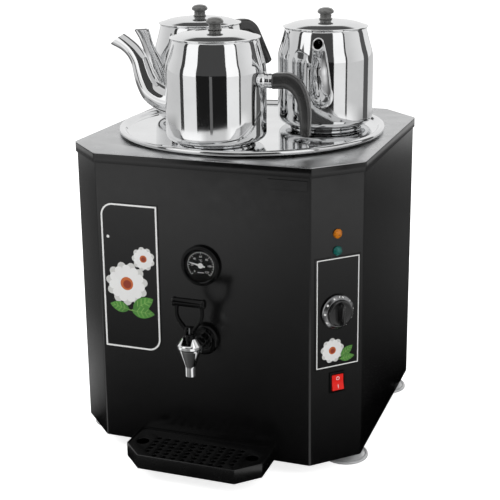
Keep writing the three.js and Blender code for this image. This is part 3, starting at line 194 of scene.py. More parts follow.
class Bench:
    """Modelling steps made with Blender's own tools. Sizes are in millimetres."""

    @staticmethod
    def clear() -> None:
        """Leave edit mode and deselect everything."""
        if bpy.context.object and bpy.context.object.mode != "OBJECT":
            bpy.ops.object.mode_set(mode="OBJECT")
        bpy.ops.object.select_all(action="DESELECT")

    @staticmethod
    def hold(piece: Object, *others: Object) -> None:
        """Select pieces, with the first one active."""
        Bench.clear()
        for each in (piece, *others):
            each.select_set(True)
        bpy.context.view_layer.objects.active = piece

    @staticmethod
    def named(name: str) -> Object:
        """Name the primitive that was just added."""
        piece = bpy.context.object
        piece.name = name
        piece.data.name = name
        return piece

    @staticmethod
    def edit(piece: Object, kind: str = "VERT", chosen: bool = True) -> None:
        """Open a piece for editing, with all or nothing selected."""
        Bench.hold(piece)
        bpy.ops.object.mode_set(mode="EDIT")
        bpy.ops.mesh.select_mode(type=kind)
        bpy.ops.mesh.select_all(action="SELECT" if chosen else "DESELECT")

    @staticmethod
    def close(piece: Object, merge: float = 0.002) -> Object:
        """Merge doubles, point the faces outwards and leave edit mode."""
        bpy.ops.mesh.select_all(action="SELECT")
        bpy.ops.mesh.remove_doubles(threshold=merge * MM)
        bpy.ops.mesh.normals_make_consistent(inside=False)
        bpy.ops.object.mode_set(mode="OBJECT")
        return piece

    @staticmethod
    def pick_faces(piece: Object, test: Callable[[Vector, Vector], bool]) -> int:
        """Select the faces of the open piece by place and normal.

        Args:
            piece: The piece in edit mode.
            test: Takes a face's middle in millimetres and its normal.

        Returns:
            How many faces were selected.
        """
        mesh = bmesh.from_edit_mesh(piece.data)
        count = 0
        for face in mesh.faces:
            chosen = test(face.calc_center_median() / MM, face.normal)
            face.select_set(chosen)
            count += chosen
        mesh.select_flush_mode()
        bmesh.update_edit_mesh(piece.data)
        return count

    @staticmethod
    def pick_edges(piece: Object, test: Callable[[Vector, Vector], bool]) -> int:
        """Select the edges of the open piece by their two ends in millimetres."""
        mesh = bmesh.from_edit_mesh(piece.data)
        count = 0
        for edge in mesh.edges:
            chosen = test(*(vert.co / MM for vert in edge.verts))
            edge.select_set(chosen)
            count += chosen
        bmesh.update_edit_mesh(piece.data)
        return count

    @staticmethod
    def spun(name: str, profile: Sequence[Point], steps: int = 96) -> Object:
        """Spin a line of radius and height about the upright axis.

        Args:
            name: The piece's name.
            profile: Points of radius and height, a closed or axis-to-axis line.
            steps: How many steps make the round.

        Returns:
            The closed piece.
        """
        Bench.clear()
        bpy.ops.mesh.primitive_plane_add(size=MM)
        piece = Bench.named(name)
        Bench.edit(piece)
        bpy.ops.mesh.merge(type="CENTER")
        points = [Vector((radius, 0.0, height)) * MM for radius, height in profile]
        bpy.ops.transform.translate(value=points[0])
        for start, end in zip(points, points[1:]):
            bpy.ops.mesh.extrude_vertices_move(TRANSFORM_OT_translate={"value": end - start})
        bpy.ops.mesh.select_all(action="SELECT")
        bpy.ops.mesh.spin(steps=steps, angle=2 * math.pi, center=(0, 0, 0), axis=(0, 0, 1))
        return Bench.close(piece)

    @staticmethod
    def slab(name: str, outline: Sequence[Point], low: float, high: float) -> Object:
        """Raise an outline of points in the XY plane into a slab."""
        Bench.clear()
        bpy.ops.mesh.primitive_plane_add(size=MM)
        piece = Bench.named(name)
        Bench.edit(piece)
        bpy.ops.mesh.merge(type="CENTER")
        points = [Vector((x, y, low)) * MM for x, y in outline]
        bpy.ops.transform.translate(value=points[0])
        for start, end in zip(points, points[1:]):
            bpy.ops.mesh.extrude_vertices_move(TRANSFORM_OT_translate={"value": end - start})
        bpy.ops.mesh.select_all(action="SELECT")
        bpy.ops.mesh.edge_face_add()
        if high > low:
            bpy.ops.mesh.extrude_region_move(TRANSFORM_OT_translate={"value": (0, 0, (high - low) * MM)})
        return Bench.close(piece, 0.0005)

    @staticmethod
    def block(name: str, size: Sequence[float], middle: Sequence[float] = (0, 0, 0)) -> Object:
        """Add a block at its size and place."""
        Bench.clear()
        bpy.ops.mesh.primitive_cube_add(size=1, location=Vector(middle) * MM, scale=Vector(size) * MM)
        piece = Bench.named(name)
        bpy.ops.object.transform_apply()
        return piece

    @staticmethod
    def rod(
        name: str, radius: float, low: float, high: float, sides: int = 48, at: Point = (0, 0),
    ) -> Object:
        """Add an upright round bar."""
        Bench.clear()
        middle = Vector((*at, (low + high) / 2))
        bpy.ops.mesh.primitive_cylinder_add(
            vertices=sides, radius=radius * MM, depth=(high - low) * MM, location=middle * MM)
        piece = Bench.named(name)
        bpy.ops.object.transform_apply()
        return piece

    @staticmethod
    def lofted(name: str, rows: Sequence[Sequence[float]], sides: int = 32, flat: float = 0.0) -> Object:
        """Draw a section along a bent line in the XZ plane by extruding it row by row.

        Args:
            name: The piece's name.
            rows: Out, up, half height, half width and slope in degrees of each section.
            sides: How many sides the section has.
            flat: How far the section is pulled from round towards square, 0 to 1.

        Returns:
            The piece, open at both ends.
        """
        Bench.clear()
        bpy.ops.mesh.primitive_circle_add(vertices=sides, radius=1)
        piece = Bench.named(name)
        Bench.edit(piece)
        if flat:
            mesh = bmesh.from_edit_mesh(piece.data)
            for vert in mesh.verts:
                squareness = (abs(vert.co.x) ** 4 + abs(vert.co.y) ** 4) ** 0.25
                vert.co = vert.co.lerp(vert.co / squareness, flat)
            bmesh.update_edit_mesh(piece.data)
        before = (0.0, 0.0, METRE, METRE, UPRIGHT)
        for number, row in enumerate(rows):
            if number:
                bpy.ops.mesh.extrude_region_move()
            centre = Vector((before[0], 0.0, before[1])) * MM
            if before[4] != UPRIGHT:
                Bench.tip(before[4] - UPRIGHT, centre)
            growth = (row[2] / before[2], row[3] / before[3], 1)
            bpy.ops.transform.resize(value=growth, center_override=centre)
            if row[4] != UPRIGHT:
                Bench.tip(UPRIGHT - row[4], centre)
            step = Vector((row[0] - before[0], 0.0, row[1] - before[1])) * MM
            bpy.ops.transform.translate(value=step)
            before = row
        return Bench.close(piece, 0.0005)

    @staticmethod
    def tip(angle: float, centre: Vector) -> None:
        """Turn what is selected about Y by the right-hand rule, in degrees."""
        value = math.radians(angle) * TURN_SIGN
        bpy.ops.transform.rotate(value=value, orient_axis="Y", center_override=centre)

    @staticmethod
    def capped(piece: Object) -> Object:
        """Close the open ends of a piece."""
        Bench.edit(piece, "EDGE", False)
        bpy.ops.mesh.select_non_manifold()
        bpy.ops.mesh.fill_holes(sides=0)
        return Bench.close(piece, 0.0005)

    @staticmethod
    def applied(piece: Object, kind: str, **settings: object) -> Object:
        """Add a modifier, set it and apply it."""
        Bench.hold(piece)
        modifier = piece.modifiers.new(kind.title(), kind)
        for key, value in settings.items():
            setattr(modifier, key, value)
        bpy.ops.object.modifier_apply(modifier=modifier.name)
        return piece

    @staticmethod
    def bevelled(piece: Object, width: float, segments: int = 3, angle: float = 30.0) -> Object:
        """Round the sharp edges of a piece."""
        return Bench.applied(piece, "BEVEL", width=width * MM, segments=segments, limit_method="ANGLE",
                             angle_limit=math.radians(angle), use_clamp_overlap=True)

    @staticmethod
    def less(piece: Object, *tools: Object) -> Object:
        """Cut tools out of a piece and remove them."""
        for tool in tools:
            Bench.applied(piece, "BOOLEAN", operation="DIFFERENCE", solver="EXACT", object=tool)
            bpy.data.objects.remove(tool)
        return piece

    @staticmethod
    def joined(name: str, first: Object, *others: Object) -> Object:
        """Make one piece of several."""
        Bench.hold(first, *others)
        if others:
            bpy.ops.object.join()
        return Bench.named(name)

    @staticmethod
    def placed(piece: Object, matrix: Matrix) -> Object:
        """Move a piece and leave its place in its mesh."""
        Bench.hold(piece)
        piece.matrix_world = matrix @ piece.matrix_world
        bpy.ops.object.transform_apply()
        return piece

    @staticmethod
    def copied(piece: Object, name: str, matrix: Matrix) -> Object:
        """Copy a piece with a mesh of its own, and move the copy."""
        Bench.hold(piece)
        bpy.ops.object.duplicate(linked=False)
        return Bench.placed(Bench.named(name), matrix)

    @staticmethod
    def smooth(piece: Object, angle: float = 32.0) -> Object:
        """Shade a piece smooth except at its sharp edges."""
        Bench.hold(piece)
        bpy.ops.object.shade_smooth_by_angle(angle=math.radians(angle))
        return piece

    @staticmethod
    def words(name: str, text: str, size: float, at: Point, low: float) -> Object:
        """Cut a generic mark or number as a thin mesh, centred on a point."""
        Bench.clear()
        bpy.ops.object.text_add(location=Vector((*at, low)) * MM)
        piece = bpy.context.object
        piece.data.body = text
        piece.data.size = size * MM
        piece.data.align_x = "CENTER"
        piece.data.align_y = "CENTER"
        piece.data.extrude = 0.02 * MM
        piece.data.resolution_u = 3
        bpy.ops.object.convert(target="MESH")
        piece = Bench.named(name)
        bpy.ops.object.transform_apply()
        return piece


def turned(angle: float, axis: str = "Z") -> Matrix:
    """Give a turn about an axis in degrees."""
    return Matrix.Rotation(math.radians(angle), 4, axis)


def shifted(x: float, y: float, z: float) -> Matrix:
    """Give a shift in millimetres."""
    return Matrix.Translation(Vector((x, y, z)) * MM)


def rectangle(x: float, y: float) -> list[Point]:
    """Give a rectangle's outline about its middle, from its half sizes."""
    return [(-x, -y), (x, -y), (x, y), (-x, y)]


def tool_turn_sign() -> int:
    """Find which way the rotate tool turns here.

    Returns:
        1 where a positive angle follows the right-hand rule, otherwise -1.
    """
    Bench.clear()
    bpy.ops.mesh.primitive_plane_add(size=1)
    trial = bpy.context.object
    Bench.edit(trial)
    bpy.ops.transform.rotate(value=math.radians(30), orient_axis="Y", center_override=(0, 0, 0))
    bpy.ops.object.mode_set(mode="OBJECT")
    raised = max(trial.data.vertices, key=lambda vert: vert.co.x).co.z
    bpy.data.objects.remove(trial)
    return 1 if raised < 0 else -1


TURN_SIGN = 1


class Graph:
    """A material's node tree, built a node at a time."""

    def __init__(self, name: str) -> None:
        """Start a material with a principled shader."""
        self.material: Material = bpy.data.materials.new(f"{name}_look")
        self.material.use_nodes = True
        self.tree = self.material.node_tree
        self.shader: Node = self.tree.nodes["Principled BSDF"]
        self.place: NodeSocket = self.node("ShaderNodeTexCoord").outputs["Object"]

    def node(self, kind: str, **settings: object) -> Node:
        """Add a node and set its properties."""
        made = self.tree.nodes.new(kind)
        for key, value in settings.items():
            setattr(made, key, value)
        return made

    def link(self, source: NodeSocket, target: NodeSocket) -> None:
        """Join two sockets."""
        self.tree.links.new(source, target)

    def stretched(self, scale: Sequence[float]) -> NodeSocket:
        """Give object coordinates scaled along each axis."""
        mapping = self.node("ShaderNodeMapping")
        mapping.inputs["Scale"].default_value = scale
        self.link(self.place, mapping.inputs["Vector"])
        return mapping.outputs["Vector"]

    def noise(
        self, scale: float, detail: float = 3.0, rough: float = 0.5, where: NodeSocket | None = None,
    ) -> NodeSocket:
        """Add noise, in features per metre."""
        made = self.node("ShaderNodeTexNoise")
        made.inputs["Scale"].default_value = scale
        made.inputs["Detail"].default_value = detail
        made.inputs["Roughness"].default_value = rough
        self.link(where or self.place, made.inputs["Vector"])
        return made.outputs["Fac"]

    def ramp(self, source: NodeSocket, *stops: tuple[float, Colour]) -> NodeSocket:
        """Turn a number into a colour by stops."""
        made = self.node("ShaderNodeValToRGB")
        band = made.color_ramp
        while len(band.elements) < len(stops):
            band.elements.new(0.5)
        for element, (place, colour) in zip(band.elements, stops):
            element.position = place
            element.color = shade(colour)
        self.link(source, made.inputs["Fac"])
        return made.outputs["Color"]

    def spread(
        self, source: NodeSocket, low: float, high: float, start: float = 0.3, end: float = 0.7,
    ) -> NodeSocket:
        """Map a number from one range to another."""
        made = self.node("ShaderNodeMapRange")
        for key, value in (("From Min", start), ("From Max", end), ("To Min", low), ("To Max", high)):
            made.inputs[key].default_value = value
        self.link(source, made.inputs["Value"])
        return made.outputs["Result"]

    def calc(self, operation: str, *values: NodeSocket | float) -> NodeSocket:
        """Work out a number from sockets and constants."""
        made = self.node("ShaderNodeMath", operation=operation)
        for socket, value in zip(made.inputs, values):
            if isinstance(value, NodeSocket):
                self.link(value, socket)
            else:
                socket.default_value = value
        return made.outputs[0]

    def along(self, direction: NodeSocket, angle: float) -> NodeSocket:
        """Give the share of a direction that points at an angle in degrees from +X."""
        made = self.node("ShaderNodeVectorMath", operation="DOT_PRODUCT")
        self.link(direction, made.inputs[0])
        made.inputs[1].default_value = (math.cos(math.radians(angle)), math.sin(math.radians(angle)), 0.0)
        return made.outputs["Value"]

    def bump(self, *layers: tuple[NodeSocket, float, float]) -> None:
        """Stack bumps, each a height, its strength and its depth in millimetres."""
        normal = None
        for height, strength, depth in layers:
            made = self.node("ShaderNodeBump")
            made.inputs["Strength"].default_value = strength
            made.inputs["Distance"].default_value = depth * MM
            self.link(height, made.inputs["Height"])
            if normal:
                self.link(normal, made.inputs["Normal"])
            normal = made.outputs["Normal"]
        self.link(normal, self.shader.inputs["Normal"])

    def drive(self, name: str, source: NodeSocket) -> None:
        """Let a socket drive one of the shader's inputs."""
        self.link(source, self.shader.inputs[name])

    def fix(self, **values: object) -> None:
        """Set constants on the shader, with spaces written as underscores."""
        for key, value in values.items():
            self.shader.inputs[key.replace("_", " ")].default_value = value


@dataclass(frozen=True)
class Metal:
    """A bare metal: its colour, polish, brushing and smudges."""

    name: str
    colour: Colour
    roughness: float
    haze: float = 0.04
    grain: tuple[float, float, float] | None = None
    grain_depth: float = 0.004
    anisotropy: float = 0.0

    def make(self) -> Material:
        """Build the material."""
        graph = Graph(self.name)
        graph.fix(Metallic=1.0, Anisotropic=self.anisotropy)
        cloud = graph.noise(14.0, 4.0, 0.6)
        dark = tuple(channel * 0.9 for channel in self.colour)
        graph.drive("Base Color", graph.ramp(cloud, (0.3, dark), (0.7, self.colour)))
        smudge = graph.noise(38.0, 5.0, 0.65)
        graph.drive("Roughness", graph.spread(smudge, self.roughness, self.roughness + self.haze))
        if self.grain:
            fine, strength = graph.noise(1.0, 2.0, 0.5, graph.stretched(self.grain)), 0.5
        else:
            fine, strength = graph.noise(900.0, 2.0), 0.12
        graph.bump((fine, strength, self.grain_depth))
        return graph.material


@dataclass(frozen=True)
class Coating:
    """A paint or plastic: colour, sheen, fine texture and a change of tone."""

    name: str
    colour: Colour
    roughness: float
    variation: float = 0.25
    texture: float = 700.0
    depth: float = 0.01
    coat: float = 0.0
    specular: float = 0.5

    def make(self) -> Material:
        """Build the material."""
        graph = Graph(self.name)
        graph.fix(Metallic=0.0, Coat_Weight=self.coat, Coat_Roughness=0.08)
        graph.fix(Specular_IOR_Level=self.specular)
        cloud = graph.noise(22.0, 4.0, 0.6)
        dark = tuple(channel * (1 - self.variation) for channel in self.colour)
        graph.drive("Base Color", graph.ramp(cloud, (0.3, dark), (0.7, self.colour)))
        smear = graph.noise(60.0, 4.0, 0.7)
        graph.drive("Roughness", graph.spread(smear, self.roughness * 0.85, self.roughness * 1.2))
        graph.bump((graph.noise(self.texture, 2.0), 0.25, self.depth))
        return graph.material


@dataclass(frozen=True)
class Lens:
    """A coloured cut lens or clear glass."""

    name: str
    colour: Colour
    roughness: float = 0.05
    clear: float = 0.6
    facets: float = 450.0
    density: float = 1.49
    depth: float = 0.45
    coat: float = 0.4

    def make(self) -> Material:
        """Build the material."""
        graph = Graph(self.name)
        graph.fix(Metallic=0.0, IOR=self.density, Transmission_Weight=self.clear, Coat_Weight=self.coat)
        cells = graph.node("ShaderNodeTexVoronoi")
        cells.inputs["Scale"].default_value = self.facets
        graph.link(graph.place, cells.inputs["Vector"])
        distance = cells.outputs["Distance"]
        deep = tuple(channel * self.depth for channel in self.colour)
        graph.drive("Base Color", graph.ramp(distance, (0.1, deep), (0.7, self.colour)))
        smear = graph.noise(300.0, 2.0)
        graph.drive("Roughness", graph.spread(smear, self.roughness, self.roughness * 1.6))
        if self.facets > 1:
            graph.bump((distance, 0.5, 0.3))
        return graph.material


class Finish(Enum):
    """The urn's finishes."""

    PAINT = Coating("black_paint", (0.0024, 0.0024, 0.0025), 0.2, 0.15, 650.0, 0.006, 0.0, 0.5)
    TRAY_PAINT = Coating("black_tray_paint", (0.003, 0.003, 0.0031), 0.24, 0.2, 650.0, 0.008, 0.0, 0.6)
    TOP = Metal("satin_top", (0.62, 0.625, 0.63), 0.26, 0.08, (6.0, 900.0, 900.0), 0.003, 0.35)
    MIRROR = Metal("mirror_steel", (0.86, 0.865, 0.87), 0.035, 0.03)
    COVER = Metal("polished_cover", (0.84, 0.845, 0.85), 0.04, 0.04)
    LID = Metal("lid_steel", (0.84, 0.845, 0.85), 0.07, 0.03)
    PLAIN = Metal("plain_steel", (0.5, 0.51, 0.52), 0.3, 0.12, (500.0, 500.0, 12.0), 0.006, 0.2)
    ZINC = Metal("zinc_sheet", (0.55, 0.56, 0.57), 0.42, 0.15)
    CHROME = Metal("tap_chrome", (0.9, 0.905, 0.91), 0.03, 0.03)
    FOOT = Coating("foot_silver", (0.74, 0.745, 0.75), 0.2, 0.06, 900.0, 0.004, 0.8, 1.0)
    BRASS = Metal("brass", (0.62, 0.45, 0.2), 0.3, 0.12)
    POT_PLASTIC = Coating("pot_plastic", (0.032, 0.032, 0.0315), 0.24, 0.3, 900.0, 0.01, 0.4, 0.6)
    LID_KNOB = Coating("lid_knob_plastic", (0.13, 0.13, 0.126), 0.3, 0.3, 900.0, 0.01, 0.5, 0.6)
    BLACK_PLASTIC = Coating("black_plastic", (0.002, 0.002, 0.0021), 0.1, 0.2, 900.0, 0.004, 0.0, 0.2)
    KNOB = Coating("knob_plastic", (0.003, 0.003, 0.0031), 0.14, 0.2, 900.0, 0.004, 0.6, 0.6)
    KNOB_RIM = Metal("knob_rim", (0.3, 0.3, 0.305), 0.2, 0.06)
    LABEL = Coating("label_film", (0.002, 0.002, 0.0022), 0.18, 0.15, 300.0, 0.004, 0.0, 0.4)
    DIAL = Coating("dial_face", (0.004, 0.004, 0.0042), 0.5, 0.2, 800.0, 0.01, 0.0, 0.1)
    WHITE = Coating("white_print", (0.8, 0.8, 0.79), 0.4, 0.06, 900.0, 0.004)
    RED = Coating("rocker_red", (0.84, 0.012, 0.006), 0.2, 0.12, 700.0, 0.006, 0.0, 0.3)
    PETAL = Coating("print_petal", (0.62, 0.62, 0.6), 0.4, 0.12, 300.0, 0.004)
    HEART = Coating("print_heart", (0.6, 0.13, 0.02), 0.35, 0.35, 400.0, 0.004)
    SEED = Coating("print_seed", (0.32, 0.035, 0.008), 0.35, 0.45, 500.0, 0.004)
    LEAF = Coating("print_leaf", (0.075, 0.3, 0.035), 0.35, 0.6, 160.0, 0.004)
    LEAF_PALE = Coating("print_leaf_pale", (0.3, 0.55, 0.14), 0.35, 0.4, 160.0, 0.004)
    AMBER = Lens("amber_lens", (0.9, 0.27, 0.002), 0.05, 0.3, 450.0, 1.49, 0.35, 0.1)
    GREEN = Lens("green_lens", (0.001, 0.2, 0.17), 0.05, 0.3, 450.0, 1.49, 0.35, 0.1)
    GLASS = Lens("dial_glass", (1.0, 1.0, 1.0), 0.01, 1.0, 1.0, 1.12, 1.0, 0.0)
    SILICONE = Coating("silicone", (0.55, 0.53, 0.48), 0.5, 0.1, 500.0, 0.02)
    CREAM = Coating("cream_plastic", (0.68, 0.63, 0.5), 0.45, 0.12, 700.0, 0.02)
    WIRE = Coating("wire_cover", (0.55, 0.03, 0.02), 0.4, 0.15, 700.0, 0.02)
    WOOL = Coating("mineral_wool", (0.6, 0.52, 0.33), 0.95, 0.45, 260.0, 1.2, 0.0, 0.1)

    @property
    def material(self) -> Material:
        """Fetch the finish's material, and make it the first time."""
        return bpy.data.materials.get(f"{self.value.name}_look") or self.value.make()


def dress(piece: Object, finish: Finish) -> Object:
    """Give a piece one finish all over."""
    piece.data.materials.clear()
    piece.data.materials.append(finish.material)
    return piece


def fitted(piece: Object, body: str, slot: str, *nodes: str) -> Object:
    """Fix a finished piece to a body of the frame.

    Args:
        piece: The piece, in place.
        body: The body that it rides on.
        slot: The record's slot of its finish; not used.
        nodes: The frame's nodes that it stands for.

    Returns:
        The piece.
    """
    if nodes:
        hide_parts(*nodes)
    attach(piece, body)
    log.info("piece %s rides on %s, %d faces", piece.name, body, len(piece.data.polygons))
    return piece


@dataclass
class Casing:
    """The eight-sided wrap with its frame and top plate."""

    bottom: float = CASING_BOTTOM
    top: float = 415.9
    sheet: float = 1.2
    bend_radius: float = 2.4
    overhang: float = 2.0
    skirt_low: float = 405.5
    skirt_high: float = 417.5
    plate_low: float = 417.8
    ledge: float = 18.0
    mouth: float = 158.0
    slot_size: tuple[float, float, float] = (24.6, 8.0, 3.6)
    slot_spacing: float = 110.0
    slot_height: float = 31.5

    def octagon(self, name: str, grow: float, low: float, high: float) -> Object:
        """Raise the eight-sided outline into a block with rounded upright edges."""
        half = HALF_WIDTH + grow
        corner_cut = CORNER + grow * (2 - math.sqrt(2))
        piece = Bench.block(name, (2 * half, 2 * half, high - low), (0, CASING_Y, (low + high) / 2))
        for width, segments in ((corner_cut, 1), (self.bend_radius, 4)):
            Bench.edit(piece, "EDGE", False)
            Bench.pick_edges(piece, lambda a, b: abs(a.z - b.z) > 1)
            bpy.ops.mesh.bevel(offset_type="OFFSET", offset=width * MM, segments=segments, affect="EDGES")
            Bench.close(piece)
        return piece

    def wrap(self) -> Object:
        """Model the bent wrap, open below and above, with its two slots."""
        piece = self.octagon("casing_wrap", 0.0, self.bottom, self.top)
        Bench.edit(piece, "FACE", False)
        Bench.pick_faces(piece, lambda middle, normal: abs(normal.z) > 0.9)
        bpy.ops.mesh.delete(type="FACE")
        Bench.close(piece)
        Bench.applied(piece, "SOLIDIFY", thickness=self.sheet * MM, offset=-1.0, use_even_offset=True)
        slots = []
        for side in (-1, 1):
            middle = (SERVICE_X + side * self.slot_spacing / 2, FRONT_Y, self.slot_height)
            slots.append(Bench.block("slot", self.slot_size, middle))
        Bench.less(piece, *slots)
        return Bench.smooth(piece, 40)

    def frame(self) -> Object:
        """Model the black frame that carries the top plate."""
        low, high = self.skirt_low, self.skirt_high
        skirt = self.octagon("top_frame_skirt", self.overhang, low, high)
        inner = self.octagon("inner", self.overhang - self.sheet, low - OVERRUN, high - self.sheet)
        middle = self.octagon("middle", -self.ledge, low - OVERRUN, high + OVERRUN)
        Bench.less(skirt, inner, middle)
        return Bench.smooth(Bench.bevelled(skirt, 0.35, 2, 50), 40)

    def plate(self) -> Object:
        """Model the satin plate with its round mouth."""
        piece = self.octagon("top_plate_sheet", self.overhang, self.plate_low, TOP)
        Bench.less(piece, Bench.rod("mouth", self.mouth, TOP - 5, TOP + 5, 96, (0, CASING_Y)))
        return Bench.smooth(Bench.bevelled(piece, 0.3, 2, 50), 40)

    def build(self) -> None:
        """Model, dress and fix the casing's pieces."""
        fitted(dress(self.wrap(), Finish.PAINT), "urn", "casing_paint", "casing")
        fitted(dress(self.frame(), Finish.PAINT), "urn", "casing_paint", "top_frame")
        fitted(dress(self.plate(), Finish.TOP), "urn", "top_steel", "top_plate")


@dataclass
class Cover:
    """The round polished cover with its bead."""

    radius: float = 186.0
    bead_width: float = 9.0
    bead_top: float = 428.0
    floor: float = 421.9
    under: float = 420.9
    ring_radius: float = 153.5
    ring_low: float = 408.0
    vent: Point = (-163.0, -66.0)
    vent_radius: float = 2.0

    def build(self) -> None:
        """Spin the cover, drill its vent and fix it."""
        inner = self.radius - self.bead_width
        middle = self.radius - self.bead_width / 2
        profile = filleted([
            (0, self.floor), (inner - 3, self.floor, 5), (inner + 1.2, self.bead_top - 1.2, 3.5),
            (middle, self.bead_top, 2.5),
            (self.radius - 0.4, self.bead_top - 1.2, 3.0), (self.radius, TOP + 4.6, 3.0),
            (self.radius - 1.6, TOP + 2.4, 0.8),
            (self.radius - 5, TOP + 1.8, 1.2), (inner, TOP + 0.35, 1.0), (inner - 2.4, self.under, 2.0),
            (self.ring_radius, self.under, 0.6),
            (self.ring_radius, self.ring_low, 0.3), (self.ring_radius - 1.2, self.ring_low, 0.3),
            (self.ring_radius - 1.2, self.under, 0.6), (0, self.under),
        ], 6)
        piece = Bench.spun("round_cover", profile, 192)
        vent = Bench.rod("vent", self.vent_radius, self.under - 3, self.floor + 3, 24, self.vent)
        Bench.less(piece, vent)
        Bench.placed(Bench.smooth(piece, 35), shifted(0, CASING_Y, 0))
        fitted(dress(piece, Finish.COVER), "cover", "polished_steel", "cover_tray")


@dataclass
class Feet:
    """The four disc feet."""

    x: float = 172.0
    y: float = 118.0
    radius: float = 31.0
    edge: float = 3.5
    neck: float = 11.0
    shoulder: float = 9.0
    stud: float = 4.0
    stud_top: float = 32.2

    def build(self) -> None:
        """Spin one foot, copy it to the four places and fix the copies."""
        profile = filleted([
            (0, 0), (self.radius, 0, 0.8), (self.radius, self.edge, 1.4),
            (self.radius - 3.4, self.edge + 0.5, 0.4),
            (self.radius - 4.2, self.edge - 0.3, 0.4), (self.radius - 5.4, self.edge + 0.7, 0.6),
            (self.neck + 8, self.edge + 3.4, 14),
            (self.neck, self.shoulder, 1.5), (self.neck, CASING_BOTTOM - 0.3, 0.6),
            (self.stud, CASING_BOTTOM - 0.3, 0.3),
            (self.stud, self.stud_top, 0.6), (0, self.stud_top),
        ], 6)
        foot = Bench.smooth(Bench.spun("foot", profile, 96))
        corners = (
            ("front_left", -1, -1), ("front_right", 1, -1), ("rear_left", -1, 1), ("rear_right", 1, 1))
        for name, i, j in corners:
            piece = Bench.copied(foot, f"disc_foot_{name}", shifted(i * self.x, CASING_Y + j * self.y, 0))
            fitted(dress(piece, Finish.FOOT), "urn", "foot_silver", f"foot_{name}")
        bpy.data.objects.remove(foot)


